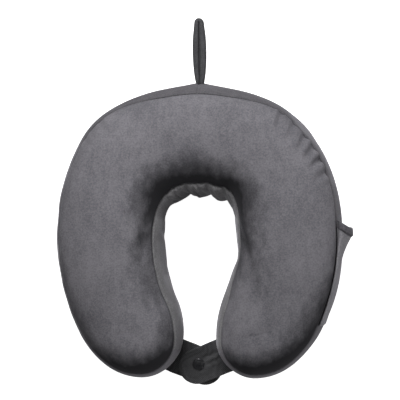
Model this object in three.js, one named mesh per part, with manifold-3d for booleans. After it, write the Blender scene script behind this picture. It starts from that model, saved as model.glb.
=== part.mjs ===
// A U shaped neck pillow: a foam core in a thin liner, inside a zipped velour cover that closes
// in front with two snap tabs and hangs by a loop.
// Millimetres. +Z is up through the thickness, the U opens towards -Y and +X is the right arm.
// The origin is on the centre plane, under the middle of the back, on the face the pillow rests on.

import * as THREE from 'three';
import { mergeVertices } from 'three/addons/utils/BufferGeometryUtils.js';
import Module from 'manifold-3d';

const wasm = await Module();
wasm.setup();

// ---------- driving dimensions ----------

// Plan, at the widest level of the cushion
const BACK_Y = 54; // outer edge of the back on the centre line
const NECK_Y = -54; // edge of the neck opening on the centre line
const HALF_WIDTH = 141; // widest half width, outside
const NECK_HALF_WIDTH = 36.5; // widest half width of the neck opening
const WIDE_Y = -95; // where both are widest
const BACK_RADIUS = 180;
const BACK_HALF_ANGLE = 28; // degrees either side of the centre line
const SHOULDER_RADIUS = 80;
const ARM_RADIUS = 222;
const ARM_TURN = 30; // degrees that the outside of an arm turns in before its tip
const TIP_OUTER_RADIUS = 60;
const TIP_INNER_RADIUS = 42;
const INNER_ARM_RADIUS = 95;
const NECK_CORNER_RADIUS = 24;
const NECK_CORNER_START = 5; // degrees above the widest level where the corner begins

// Centre line of the roll, right half: an arc about the back's centre, then down the arm
const SPINE_HALF_ANGLE = 27;
const ARM_MIDDLE = new THREE.Vector2(88.7, -88);
const TIP_CENTRE = new THREE.Vector2(68, -186);
const NECK_FOCUS = new THREE.Vector2(0, -100);

// Cross section
const WIDEST_Z = 45;
const BOTTOM_DEPTH = 45.6; // a little more than WIDEST_Z, so that the underside has a flat band
const BOTTOM_POWER = 4.5;
const BACK_TOP = 94;
const ARM_TOP = 106;
const TIP_TOP = 100;
const TOP_SEAM_INSET = 5;
const BOTTOM_SEAM_Z = 14;
const ZIP_OPENING = 7;
const SEAM_GAP = 0.5;

// Layers, as depths under the cover's outer surface
const COVER = [0, 1.8];
const ZIP_TAPE = [2.1, 2.7];
const ELASTIC = [2.1, 2.9];
const LINER = [3.2, 4.0];
const FOAM_DEPTH = 4.4;

// ---------- small helpers ----------

const DEGREE = Math.PI / 180;
const direction = (degrees) => new THREE.Vector2(Math.cos(degrees * DEGREE), Math.sin(degrees * DEGREE));
const smooth = (from, to, value) => THREE.MathUtils.smoothstep(value, from, to);

// Radius of a circle through a point P that touches a second circle of radius r (negative when it
// touches from outside). The first circle's centre lies along a direction from P. The second
// circle's centre is `along` that direction and `across` it, measured from P.
function radiusTouching(along, across, r) {
  return (along ** 2 + across ** 2 - r ** 2) / (2 * (along - r));
}

function material(name, color, roughness, metalness = 0) {
  const made = new THREE.MeshStandardMaterial({ color, roughness, metalness });
  made.name = name;
  return made;
}

const MATERIALS = {
  velour: material('velour', 0x68676d, 0.95),
  tape: material('webbing', 0x1b1b1d, 0.85),
  foam: material('foam', 0xe9dfc4, 0.9),
  liner: material('liner', 0xd9d9d6, 0.85),
  elastic: material('elastic', 0xe8e8e6, 0.8),
  coil: material('zip_coil', 0x242427, 0.5),
  slider: material('zip_metal', 0x2c2c2f, 0.35, 0.8),
  snap: material('snap_metal', 0x18181a, 0.3, 0.6),
  steel: material('snap_steel', 0xb9babd, 0.3, 1),
};

const pillow = new THREE.Group();

function add(name, geometry, surface, parent = pillow) {
  const mesh = new THREE.Mesh(geometry, surface);
  mesh.name = name;
  parent.add(mesh);
  return mesh;
}

function geometryOf(points, triangles) {
  const geometry = new THREE.BufferGeometry();
  geometry.setAttribute('position', new THREE.Float32BufferAttribute(points.flatMap((p) => [...p]), 3));
  geometry.setIndex(triangles.flat());
  geometry.computeVertexNormals();
  return geometry;
}

// A closed solid through rings of equal length, each ring a closed convex section.
function loft(rings) {
  const count = rings[0].length;
  const points = rings.flat();
  const triangles = [];
  for (let i = 0; i + 1 < rings.length; i++) {
    for (let k = 0; k < count; k++) {
      const next = (k + 1) % count;
      const [a, b, c, d] = [i * count + k, i * count + next, (i + 1) * count + next, (i + 1) * count + k];
      triangles.push([a, b, c], [a, c, d]);
    }
  }
  const last = (rings.length - 1) * count;
  for (let k = 1; k + 1 < count; k++) {
    triangles.push([0, k + 1, k], [last, last + k, last + k + 1]);
  }
  return facingOut(points, triangles);
}

// The same solid with its triangles turned so that its volume is positive.
function facingOut(points, triangles) {
  let volume = 0;
  for (const [a, b, c] of triangles) {
    volume += points[a].dot(new THREE.Vector3().crossVectors(points[b], points[c]));
  }
  return geometryOf(points, volume < 0 ? triangles.map(([a, b, c]) => [a, c, b]) : triangles);
}

function toManifold(geometry) {
  const plain = geometry.clone();
  plain.deleteAttribute('normal');
  plain.deleteAttribute('uv');
  const merged = mergeVertices(plain);
  return new wasm.Manifold(new wasm.Mesh({
    numProp: 3,
    vertProperties: new Float32Array(merged.attributes.position.array),
    triVerts: new Uint32Array(merged.index.array),
  }));
}

function fromManifold(solid) {
  const mesh = solid.getMesh();
  const geometry = new THREE.BufferGeometry();
  geometry.setAttribute('position', new THREE.BufferAttribute(mesh.vertProperties, 3));
  geometry.setIndex(new THREE.BufferAttribute(mesh.triVerts, 1));
  geometry.computeVertexNormals();
  return geometry;
}

// ---------- plan outline, right half ----------

function rightOutline() {
  const path = new THREE.Path();
  const arc = (centre, radius, from, to, clockwise) => {
    path.absarc(centre.x, centre.y, radius, from * DEGREE, to * DEGREE, clockwise);
  };
  const angleBetween = (a, b) => Math.atan2(b.y - a.y, b.x - a.x) / DEGREE;
  const step = (centre, distance, degrees) => centre.clone().addScaledVector(direction(degrees), distance);

  const back = new THREE.Vector2(0, BACK_Y - BACK_RADIUS);
  const shoulder = step(back, BACK_RADIUS - SHOULDER_RADIUS, 90 - BACK_HALF_ANGLE);
  const sideRadius = radiusTouching(HALF_WIDTH - shoulder.x, shoulder.y - WIDE_Y, SHOULDER_RADIUS);
  const side = new THREE.Vector2(HALF_WIDTH - sideRadius, WIDE_Y);
  const shoulderEnd = angleBetween(side, shoulder);
  const arm = new THREE.Vector2(HALF_WIDTH - ARM_RADIUS, WIDE_Y);
  const tipOuter = step(arm, ARM_RADIUS - TIP_OUTER_RADIUS, -ARM_TURN);
  const tipInner = step(tipOuter, TIP_OUTER_RADIUS - TIP_INNER_RADIUS, -90);
  const innerArm = step(tipInner, INNER_ARM_RADIUS - TIP_INNER_RADIUS, 0);
  const holeRadius = radiusTouching(NECK_HALF_WIDTH - innerArm.x, innerArm.y - WIDE_Y, -INNER_ARM_RADIUS);
  const hole = new THREE.Vector2(NECK_HALF_WIDTH - holeRadius, WIDE_Y);
  const holeStart = angleBetween(hole, innerArm);
  const corner = step(hole, holeRadius - NECK_CORNER_RADIUS, NECK_CORNER_START);
  const neckRadius = radiusTouching(NECK_Y - corner.y, corner.x, NECK_CORNER_RADIUS);
  const neck = new THREE.Vector2(0, NECK_Y - neckRadius);
  const cornerEnd = angleBetween(neck, corner);

  arc(back, BACK_RADIUS, 90, 90 - BACK_HALF_ANGLE, true);
  arc(shoulder, SHOULDER_RADIUS, 90 - BACK_HALF_ANGLE, shoulderEnd, true);
  arc(side, sideRadius, shoulderEnd, 0, true);
  arc(arm, ARM_RADIUS, 0, -ARM_TURN, true);
  arc(tipOuter, TIP_OUTER_RADIUS, -ARM_TURN, -90, true);
  arc(tipInner, TIP_INNER_RADIUS, -90, -180, true);
  arc(innerArm, INNER_ARM_RADIUS, 180, 180 + holeStart, true);
  arc(hole, holeRadius, holeStart, NECK_CORNER_START, false);
  arc(corner, NECK_CORNER_RADIUS, NECK_CORNER_START, cornerEnd, false);
  arc(neck, neckRadius, cornerEnd, 90, false);
  return { points: path.getPoints(40), tipInner };
}

const OUTLINE = rightOutline();

// How far a ray runs before it meets the outline
function reach(origin, heading) {
  let nearest = Infinity;
  for (let i = 0; i + 1 < OUTLINE.points.length; i++) {
    const start = OUTLINE.points[i];
    const edge = OUTLINE.points[i + 1].clone().sub(start);
    const offset = start.clone().sub(origin);
    const across = heading.cross(edge);
    const along = offset.cross(edge) / across;
    const part = offset.cross(heading) / across;
    if (along > 1 && part >= 0 && part <= 1) nearest = Math.min(nearest, along);
  }
  return nearest;
}

// ---------- rays from the centre line to the outline ----------

const BACK_CENTRE = new THREE.Vector2(0, BACK_Y - BACK_RADIUS);
const SPINE_RADIUS = -BACK_CENTRE.y;

// The spine's three stretches; a place on it is the stretch's number plus the share run of it.
function spineStretches() {
  const start = 90 * DEGREE;
  const end = (90 - SPINE_HALF_ANGLE) * DEGREE;
  const back = new THREE.EllipseCurve(0, BACK_CENTRE.y, SPINE_RADIUS, SPINE_RADIUS, start, end, true);
  const joint = back.getPoint(1);
  const heading = direction(-SPINE_HALF_ANGLE);
  const upper = new THREE.CubicBezierCurve(
    joint,
    joint.clone().addScaledVector(heading, 26),
    ARM_MIDDLE.clone().add(new THREE.Vector2(0, 33)),
    ARM_MIDDLE,
  );
  const lower = new THREE.CubicBezierCurve(
    ARM_MIDDLE,
    ARM_MIDDLE.clone().add(new THREE.Vector2(0, -33)),
    TIP_CENTRE.clone().add(new THREE.Vector2(10.5, 27)),
    TIP_CENTRE,
  );
  return [back, upper, lower];
}

const SPINE = spineStretches();
const SPINE_END = SPINE.length;

function spineAt(place) {
  const stretch = Math.min(Math.floor(place), SPINE_END - 1);
  const tangent = SPINE[stretch].getTangentAt(place - stretch);
  return { centre: SPINE[stretch].getPointAt(place - stretch), outward: new THREE.Vector2(-tangent.y, tangent.x) };
}

const topAt = (place) => BACK_TOP + (ARM_TOP - BACK_TOP) * smooth(0.3, 2, place)
  - (ARM_TOP - TIP_TOP) * smooth(2, SPINE_END, place);
const outerPower = (place) => 2.8 - 0.4 * smooth(2.3, SPINE_END, place);
const innerPower = (place) => 2.0 + 0.5 * smooth(0.8, 2, place) - 0.1 * smooth(2, SPINE_END, place);

function makeRay(zone, place, centre, heading, power) {
  return { zone, place, hand: 1, centre, heading, power, reach: reach(centre, heading), top: topAt(place) };
}

// Outer rays leave the spine square to it. Inner rays aim at the middle of the neck opening at
// first, so that they fan out into its corner, and turn square to the spine along the arm.
function spineRay(zone, place) {
  const { centre, outward } = spineAt(place);
  if (zone === 'outer') return makeRay(zone, place, centre, outward, outerPower(place));
  const heading = NECK_FOCUS.clone().sub(centre).normalize();
  heading.lerp(outward.negate(), smooth(1.5, SPINE_END, place)).normalize();
  return makeRay(zone, place, centre, heading, innerPower(place));
}

function tipRay(zone, share) {
  const { centre, outward } = spineAt(SPINE_END);
  const start = outward.angle() / DEGREE;
  const power = outerPower(SPINE_END) + (innerPower(SPINE_END) - outerPower(SPINE_END)) * share;
  return makeRay(zone, SPINE_END, centre, direction(start - 180 * share), power);
}

function mirrored(ray) {
  return {
    ...ray,
    hand: -1,
    centre: new THREE.Vector2(-ray.centre.x, ray.centre.y),
    heading: new THREE.Vector2(-ray.heading.x, ray.heading.y),
  };
}

const CENTRE_PLACE = SEAM_GAP / 2 / (SPINE_RADIUS * SPINE_HALF_ANGLE * DEGREE);
const BAND_JOIN = 0.75; // share of the way round a tip where the outer band meets the inner band
const JOIN_HALF_GAP = 0.0017;

function buildRim() {
  const places = [CENTRE_PLACE, 0.25, 0.5, 0.75, 1];
  for (const count of [5, 5]) {
    const from = places[places.length - 1];
    for (let i = 1; i <= count; i++) places.push(from + i / count);
  }
  const right = places.map((place) => spineRay('outer', place));
  for (const share of [1 / 8, 2 / 8, 3 / 8, 4 / 8, 5 / 8, BAND_JOIN - JOIN_HALF_GAP]) {
    right.push(tipRay('outer', share));
  }
  right.push(tipRay('inner', BAND_JOIN + JOIN_HALF_GAP), tipRay('inner', 7 / 8));
  right.push(...places.toReversed().map((place) => spineRay('inner', place)));
  return [...right, ...right.toReversed().map(mirrored)];
}

const RIM = buildRim();

// ---------- rings down the cross section ----------

// A ring is [share of the ray, height share], on a unit superellipse, as a function of the ray.
const onTop = (share, power) => [share, (1 - share ** power) ** (1 / power)];
const onSide = (height, power) => [(1 - height ** power) ** (1 / power), height];
const onFlank = (z) => {
  const depth = (WIDEST_Z - z) / BOTTOM_DEPTH;
  return [(1 - depth ** BOTTOM_POWER) ** (1 / BOTTOM_POWER), -depth];
};
const underneath = (share) => [share, -((1 - share ** BOTTOM_POWER) ** (1 / BOTTOM_POWER))];
const seamShare = (ray, shift = 0) => 1 - (TOP_SEAM_INSET + shift) / ray.reach;
const seamHeight = (ray) => onTop(seamShare(ray, -SEAM_GAP / 2), ray.power)[1];

const RINGS = [
  () => [0, 1],
  (ray) => onTop(0.35 * seamShare(ray), ray.power),
  (ray) => onTop(0.62 * seamShare(ray), ray.power),
  (ray) => onTop(0.84 * seamShare(ray), ray.power),
  (ray) => onTop(seamShare(ray, SEAM_GAP / 2), ray.power),
  (ray) => onTop(seamShare(ray, -SEAM_GAP / 2), ray.power),
  (ray) => onSide(0.66 * seamHeight(ray), ray.power),
  (ray) => onSide(0.33 * seamHeight(ray), ray.power),
  () => [1, 0],
  () => onFlank(32),
  () => onFlank(24),
  () => onFlank(BOTTOM_SEAM_Z + ZIP_OPENING / 2),
  () => onFlank(BOTTOM_SEAM_Z + SEAM_GAP / 2),
  () => onFlank(BOTTOM_SEAM_Z - SEAM_GAP / 2),
  () => onFlank(BOTTOM_SEAM_Z - ZIP_OPENING / 2),
  () => underneath(0.86),
  () => underneath(0.7),
  () => onFlank(0),
  () => [0, -1],
];
const TOP_SEAM = 4;
const WIDEST = 8;
const WINDOW_TOP = 10;
const ZIP_TOP = 11;
const BOTTOM_SEAM = 12;
const ZIP_BOTTOM = 14;
const WINDOW_BOTTOM = 15;
const LAST_RING = RINGS.length - 1;

function pointOnRing(ray, ring, depth) {
  const [share, height] = RINGS[ring](ray);
  const run = share * (ray.reach - depth);
  const z = height >= 0
    ? WIDEST_Z + height * (ray.top - depth - WIDEST_Z)
    : Math.max(depth, WIDEST_Z + height * (BOTTOM_DEPTH - depth));
  return new THREE.Vector3(ray.centre.x + ray.heading.x * run, ray.centre.y + ray.heading.y * run, z);
}

// A ring number with a fraction lies on the straight facet between two rings.
function pointAt(ray, ring, depth) {
  const whole = Math.min(Math.floor(ring), LAST_RING - 1);
  return pointOnRing(ray, whole, depth).lerp(pointOnRing(ray, whole + 1, depth), ring - whole);
}

// ---------- sheets that follow the cushion ----------

// Cells between neighbouring rays and rings, joined where they share corners. Each corner has a
// point at the outer depth and one at the inner depth; with no inner depth the sheet is one closed
// surface. `keep` says which cells belong: it gets the two rays and the cell's first ring number.
function sheet({ rays, rings, outer, inner = null, keep = () => true, closed = true }) {
  const outerPoints = [];
  const innerPoints = [];
  const known = new Map();
  const corner = (ray, ring) => {
    const point = pointAt(ray, ring, outer(ray, ring));
    const key = point.toArray().map((value) => Math.round(value * 1e4)).join();
    if (!known.has(key)) {
      known.set(key, outerPoints.length);
      outerPoints.push(point);
      if (inner) innerPoints.push(pointAt(ray, ring, inner(ray, ring)));
    }
    return known.get(key);
  };

  const faces = [];
  const cells = closed ? rays.length : rays.length - 1;
  for (let j = 0; j < cells; j++) {
    const [ray, next] = [rays[j], rays[(j + 1) % rays.length]];
    for (let k = 0; k + 1 < rings.length; k++) {
      if (!keep(ray, next, rings[k])) continue;
      const a = corner(ray, rings[k]);
      const b = corner(next, rings[k]);
      const c = corner(next, rings[k + 1]);
      const d = corner(ray, rings[k + 1]);
      for (const face of [[a, b, c], [a, c, d]]) {
        if (new Set(face).size === 3) faces.push(face);
      }
    }
  }
  if (!inner) return facingOut(outerPoints, faces);

  const shift = outerPoints.length;
  const edges = new Set();
  for (const [a, b, c] of faces) {
    for (const edge of [[a, b], [b, c], [c, a]]) edges.add(edge.join());
  }
  const solid = faces.flatMap(([a, b, c]) => [[a, b, c], [a + shift, c + shift, b + shift]]);
  for (const edge of edges) {
    const [a, b] = edge.split(',').map(Number);
    if (!edges.has(`${b},${a}`)) solid.push([b, a, a + shift], [b, a + shift, b + shift]);
  }
  return facingOut([...outerPoints, ...innerPoints], solid);
}

const ringsFrom = (first, last) => Array.from({ length: last - first + 1 }, (_, i) => first + i);
const layer = (depths) => ({ outer: () => depths[0], inner: () => depths[1] });
const inZip = (ray, next) => ray.zone === 'outer' && next.zone === 'outer' && Math.max(ray.place, next.place) <= 1;

// ---------- the cover ----------

function topPanel() {
  return sheet({ rays: RIM, rings: ringsFrom(0, TOP_SEAM), ...layer(COVER) });
}

function bottomPanel() {
  const keep = (ray, next, ring) => !(inZip(ray, next) && ring === BOTTOM_SEAM + 1);
  return sheet({ rays: RIM, rings: ringsFrom(BOTTOM_SEAM + 1, LAST_RING), ...layer(COVER), keep });
}

// The bands run between the two seams; an outer band is cut away over the zip.
function band(zone, hand) {
  const keep = (ray, next, ring) => ray.zone === zone && next.zone === zone
    && (hand === 0 || (ray.hand === hand && next.hand === hand))
    && !(inZip(ray, next) && ring === ZIP_TOP);
  return sheet({ rays: RIM, rings: ringsFrom(TOP_SEAM + 1, BOTTOM_SEAM), ...layer(COVER), keep });
}

function neckElastic() {
  const rays = RIM.filter((ray) => ray.zone === 'inner' && ray.place <= 1);
  return sheet({ rays, rings: [WIDEST - 0.6, WIDEST, WIDEST + 0.6], ...layer(ELASTIC), closed: false });
}

// ---------- what is inside ----------

const CORE_RINGS = [0, 1, 2, 3, TOP_SEAM, 6, 7, WIDEST, 9, WINDOW_TOP, WINDOW_BOTTOM, 16, 17, LAST_RING];

function foamCore() {
  return sheet({ rays: RIM, rings: CORE_RINGS, outer: () => FOAM_DEPTH });
}

// The liner is open behind the zip, so that the foam goes in and the slider's inner plate runs clear.
function foamLiner() {
  const keep = (ray, next, ring) => !(inZip(ray, next) && ring === WINDOW_TOP);
  return sheet({ rays: RIM, rings: CORE_RINGS, ...layer(LINER), keep });
}

// ---------- phone pocket on the right arm ----------

const POCKET_CLEARANCE = 0.6;
const POCKET_CLOTH = 1.2;
const POCKET_GAPE = 9;
const POCKET_RINGS = [5, 6, 7, WIDEST, 9, 10];
const POCKET_MOUTH = 2; // place on the spine
const POCKET_SNUG = 2.3; // from here on it lies against the band
const POCKET_END = 2.8;
const HEM_WIDTH = 6;
const HEM_CLOTH = 2.2;

// How far the pocket stands off the band: nothing along its sewn edges, most in the mouth's middle
function pocketLift(ray, ring) {
  const first = POCKET_RINGS[0];
  const middle = Math.sin(Math.PI * (ring - first) / (POCKET_RINGS.at(-1) - first));
  const opening = 1 - smooth(POCKET_MOUTH, POCKET_SNUG, ray.place);
  return POCKET_CLEARANCE + POCKET_GAPE * middle * opening;
}

function pocketSheet(rays, cloth) {
  return sheet({
    rays,
    rings: POCKET_RINGS,
    outer: (ray, ring) => -pocketLift(ray, ring) - cloth,
    inner: (ray, ring) => -pocketLift(ray, ring),
    closed: false,
  });
}

function pocketPanel() {
  const isOutside = (ray) => ray.zone === 'outer' && ray.hand === 1;
  return pocketSheet(
    RIM.filter((ray) => isOutside(ray) && ray.place >= POCKET_MOUTH && ray.place <= POCKET_END + 0.01),
    POCKET_CLOTH,
  );
}

function pocketHem() {
  const stretch = SPINE[POCKET_MOUTH - 1].getLength();
  const places = [HEM_WIDTH, HEM_WIDTH / 2, SEAM_GAP].map((offset) => POCKET_MOUTH - offset / stretch);
  return pocketSheet(places.map((place) => spineRay('outer', place)), HEM_CLOTH);
}

// ---------- hanging loop ----------

const LOOP_HINGE = new THREE.Vector2(0, 57);
const LOOP_ROOT_RADIUS = 2.3;
const LOOP_LENGTH = 66; // from the hinge to its far end
const LOOP_HALF_WIDTH = 6.5;
const LOOP_CLOTH = 5.6;
const LOOP_SLIT_START = 9;
const LOOP_WIDTH_Z = 16;

// Plan of the folded tape, standing on edge: a stem that swells to a rounded end
function hangingLoop() {
  const start = LOOP_HINGE.y;
  const wideY = start + 0.62 * LOOP_LENGTH;
  const endY = start + LOOP_LENGTH;
  const outline = (half, from, to, fromHalf) => [
    [fromHalf, from],
    [0.72 * half + 0.28 * fromHalf, from + 0.45 * (wideY - from)],
    [half, wideY],
    [0.93 * half, to - 0.75 * half],
    [0.55 * half, to - 0.16 * half],
    [0, to],
  ].map(([x, y]) => new THREE.Vector2(x, y));
  const bothSides = (points) => [
    ...points,
    ...points.toReversed().slice(1).map((p) => new THREE.Vector2(-p.x, p.y)),
  ];
  const smoothLine = (points, count) => new THREE.SplineCurve(bothSides(points)).getPoints(count);

  const shape = new THREE.Shape(smoothLine(outline(LOOP_HALF_WIDTH, start, endY, LOOP_ROOT_RADIUS), 28));
  shape.absarc(LOOP_HINGE.x, LOOP_HINGE.y, LOOP_ROOT_RADIUS, Math.PI, 2 * Math.PI, false);
  const slitHalf = LOOP_HALF_WIDTH - LOOP_CLOTH;
  const slit = outline(slitHalf, start + LOOP_SLIT_START, endY - LOOP_CLOTH, 0.5);
  shape.holes.push(new THREE.Path(smoothLine(slit, 24).reverse()));
  return new THREE.ExtrudeGeometry(shape, { depth: LOOP_WIDTH_Z, bevelEnabled: false, curveSegments: 8 });
}

// ---------- closure tabs and the snap ----------

const TAB_HALF_WIDTH = 18.2;
const TAB_CLOTH = 2.5;
const TAB_ROOT_Z = 15;
const TAB_STEP_Z = 3.75; // how far each tab rises or drops from its root to the snap
const TAB_ROOT_CLEARANCE = 1.7; // from the band to the line that the tab folds about
const SNAP = new THREE.Vector2(-2.6, -226.7);
const POST_HOLE_RADIUS = 1.7;
const RIGHT_TAB = closureSide({ hand: 1, angle: 201.5, beyondSnap: 20.7, rise: TAB_STEP_Z, offMiddle: 1.4 });
const LEFT_TAB = closureSide({ hand: -1, angle: -23, beyondSnap: 25.3, rise: -TAB_STEP_Z, offMiddle: -1.4 });

// A tab's root lies where its line to the snap leaves the arm's tip.
function closureSide({ hand, angle, beyondSnap, rise, offMiddle }) {
  const heading = direction(angle);
  const tip = new THREE.Vector2(hand * OUTLINE.tipInner.x, OUTLINE.tipInner.y);
  const bandRadius = TIP_INNER_RADIUS - (1 - onFlank(BOTTOM_SEAM_Z)[0]) * TIP_INNER_RADIUS;
  const snapAt = SNAP.clone().sub(tip).dot(heading) - bandRadius - TAB_ROOT_CLEARANCE;
  return { root: SNAP.clone().addScaledVector(heading, -snapAt), angle, snapAt, beyondSnap, rise, offMiddle };
}

// A tab runs along its own +X from its root: an S bend up or down, flat at the snap, then a round end.
// Its middle line passes offMiddle beside the snap.
function closureTab({ snapAt, beyondSnap, rise, offMiddle }) {
  const roundAt = snapAt + beyondSnap - TAB_HALF_WIDTH;
  const height = (x) => rise * smooth(2, snapAt - 7, x);
  const section = (x, half, thickness) => [[-half, -1], [half, -1], [half, 1], [-half, 1]]
    .map(([y, sign]) => new THREE.Vector3(x, offMiddle + y, height(x) + sign * thickness / 2));

  const rings = [[-1.1, 1], [-0.7, 1.9], [0, TAB_CLOTH]].map(([x, thick]) => section(x, TAB_HALF_WIDTH, thick));
  const bends = 7;
  for (let i = 1; i <= bends; i++) rings.push(section(roundAt * i / bends, TAB_HALF_WIDTH, TAB_CLOTH));
  for (const angle of [15, 30, 45, 60, 72, 82]) {
    const { x, y } = direction(angle);
    rings.push(section(roundAt + TAB_HALF_WIDTH * y, TAB_HALF_WIDTH * x, TAB_CLOTH));
  }
  const hole = new THREE.CylinderGeometry(POST_HOLE_RADIUS, POST_HOLE_RADIUS, 4 * TAB_CLOTH, 16);
  hole.rotateX(Math.PI / 2).translate(snapAt, 0, rise);
  return fromManifold(toManifold(loft(rings)).subtract(toManifold(hole)));
}

// Puts a group at a tab's root, with its +X towards the snap
function tabFrame({ root, angle }) {
  const frame = new THREE.Group();
  frame.position.set(root.x, root.y, TAB_ROOT_Z);
  frame.rotation.z = angle * DEGREE;
  pillow.add(frame);
  return frame;
}

const SNAP_GAP = 0.2; // between a snap part and the cloth it is pressed on
const CAP = { radius: 6.2, height: 1.3, crown: 3.4, postRadius: 1.2 };
const SOCKET = { radius: 5.2, height: 3.2, bore: 2.5, plate: 0.8, postBore: 1.45 };
const STUD = { flange: 4, flangeHeight: 0.6, neck: 1.45, ball: 1.9, height: 3.7 };

const turned = (profile, segments) => new THREE.LatheGeometry(
  profile.map(([r, z]) => new THREE.Vector2(r, z)),
  segments,
).rotateX(Math.PI / 2);

// A cap sits on z = 0 with its post hanging below, through the cloth.
function snapCap(postLength) {
  const { radius, height, crown, postRadius } = CAP;
  return turned([
    [0, -postLength], [postRadius, -postLength], [postRadius, 0], [radius, 0],
    [radius, 0.45 * height], [crown, height], [0, height],
  ], 24);
}

// The socket's mouth faces down from z = 0 to -height, with a plate at its top.
function snapSocket() {
  const { radius, height, bore, plate, postBore } = SOCKET;
  return turned([
    [postBore, 0], [postBore, -plate], [bore, -plate], [bore, -height],
    [radius - 0.5, -height], [radius, -height + 0.5], [radius, 0], [postBore, 0],
  ], 24);
}

// The stud stands on z = 0, with a hollow foot for the lower cap's post.
function snapStud() {
  const { flange, flangeHeight, neck, ball, height } = STUD;
  return turned([
    [0, flangeHeight], [0.6, 0], [flange, 0], [flange, flangeHeight], [neck, flangeHeight],
    [neck, 0.45 * height], [ball, 0.7 * height], [ball, 0.85 * height], [0.6 * ball, height], [0, height],
  ], 20);
}

function closure() {
  const half = TAB_CLOTH / 2 + SNAP_GAP;
  const through = TAB_CLOTH + 2 * SNAP_GAP;

  const right = tabFrame(RIGHT_TAB);
  add('closure_tab_right', closureTab(RIGHT_TAB), MATERIALS.tape, right);
  const rightSnap = new THREE.Group();
  rightSnap.position.set(RIGHT_TAB.snapAt, 0, RIGHT_TAB.rise);
  right.add(rightSnap);
  add('snap_cap_right', snapCap(through + 0.4), MATERIALS.snap, rightSnap).position.z = half;
  add('snap_socket', snapSocket(), MATERIALS.steel, rightSnap).position.z = -half;

  const left = tabFrame(LEFT_TAB);
  add('closure_tab_left', closureTab(LEFT_TAB), MATERIALS.tape, left);
  const leftSnap = new THREE.Group();
  leftSnap.position.set(LEFT_TAB.snapAt, 0, LEFT_TAB.rise);
  left.add(leftSnap);
  add('snap_stud', snapStud(), MATERIALS.steel, leftSnap).position.z = half;
  const lowerCap = add('snap_cap_left', snapCap(through - 0.4), MATERIALS.snap, leftSnap);
  lowerCap.rotation.x = Math.PI;
  lowerCap.position.z = -half;
}

// ---------- zip in the back seam ----------

// The zip lies on a cone about the back's centre. Along it runs the angle from the centre line,
// across it `up` the cone, and `out` of it.
const ZIP_SLOPE = 19.6; // degrees that its outward normal points below the horizontal
const ZIP_RUN = SPINE_RADIUS + (BACK_Y) * onFlank(BOTTOM_SEAM_Z)[0];
const COIL = { near: 0.4, far: 3.0, outside: -0.2, inside: -1.9, end: 25 };
const STOP = { start: 25.2, end: 25.9, half: 2.4, outside: 0.3, inside: -1.85 };
const SLIDER_REST = -23.2; // degrees: by the left end, with the zip closed

function zipPoint(angle, up, out) {
  const normal = direction(-ZIP_SLOPE);
  const run = ZIP_RUN + out * normal.x - up * normal.y;
  const z = BOTTOM_SEAM_Z + out * normal.y + up * normal.x;
  return new THREE.Vector3(run * Math.sin(angle * DEGREE), BACK_CENTRE.y + run * Math.cos(angle * DEGREE), z);
}

function zipBar({ from, to, steps, low, high, inside, outside }) {
  const corners = [[low, inside], [high, inside], [high, outside], [low, outside]];
  const rings = [];
  for (let i = 0; i <= steps; i++) {
    const angle = from + (to - from) * i / steps;
    rings.push(corners.map(([up, out]) => zipPoint(angle, up, out)));
  }
  return loft(rings);
}

function zipTape(rings) {
  const isBack = (ray) => ray.zone === 'outer' && ray.place <= 1.25;
  const right = RIM.filter((ray) => isBack(ray) && ray.hand === 1);
  const left = RIM.filter((ray) => isBack(ray) && ray.hand === -1);
  return sheet({ rays: [...left, ...right], rings, ...layer(ZIP_TAPE), closed: false });
}

function coil(side) {
  const edges = [side * COIL.near, side * COIL.far];
  return zipBar({
    from: -COIL.end,
    to: COIL.end,
    steps: 20,
    low: Math.min(...edges),
    high: Math.max(...edges),
    inside: COIL.inside,
    outside: COIL.outside,
  });
}

function zipStop(hand) {
  const { start, end, half, inside, outside } = STOP;
  return zipBar({ from: hand * start, to: hand * end, steps: 1, low: -half, high: half, inside, outside });
}

// The slider in its own frame: +X along the zip to the right, +Y down the cone, +Z out of it
const SLIDER = { length: 11, width: 8.4, innerWidth: 6.2, outside: 0.4, plate: 1.1, inside: -3.9, innerPlate: 0.7 };
const BRIDGE = { half: 3.3, post: 1.4, width: 1.6, clear: 2.15, bar: 1.0 };
const PULL_PIN_OUT = 2.6; // how far out the pull's pin lies
const PULL_PIN_RADIUS = 0.55;
const PULL = { length: 18, window: 5.5, half: 2.9, rail: 1.2, thickness: 1.1, pinHalf: 2.4 };

function box(x, y, z) {
  const size = [x, y, z].map(([from, to]) => to - from);
  const middle = [x, y, z].map(([from, to]) => (from + to) / 2);
  return toManifold(new THREE.BoxGeometry(...size).translate(...middle));
}

function sliderBody() {
  const { length, width, innerWidth, outside, plate, inside, innerPlate } = SLIDER;
  const long = [-length / 2, length / 2];
  const across = [-BRIDGE.width / 2, BRIDGE.width / 2];
  const deck = outside + plate;
  const top = deck + BRIDGE.clear;
  const parts = [
    box(long, [-width / 2, width / 2], [outside, deck]),
    box(long, [-innerWidth / 2, innerWidth / 2], [inside - innerPlate, inside]),
    box([-2, 2], [-0.2, 0.2], [inside - 0.1, outside + 0.1]),
    box([-BRIDGE.half, -BRIDGE.half + BRIDGE.post], across, [deck - 0.1, top + 0.1]),
    box([BRIDGE.half - BRIDGE.post, BRIDGE.half], across, [deck - 0.1, top + 0.1]),
    box([-BRIDGE.half, BRIDGE.half], across, [top, top + BRIDGE.bar]),
  ];
  return fromManifold(wasm.Manifold.union(parts));
}

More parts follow.
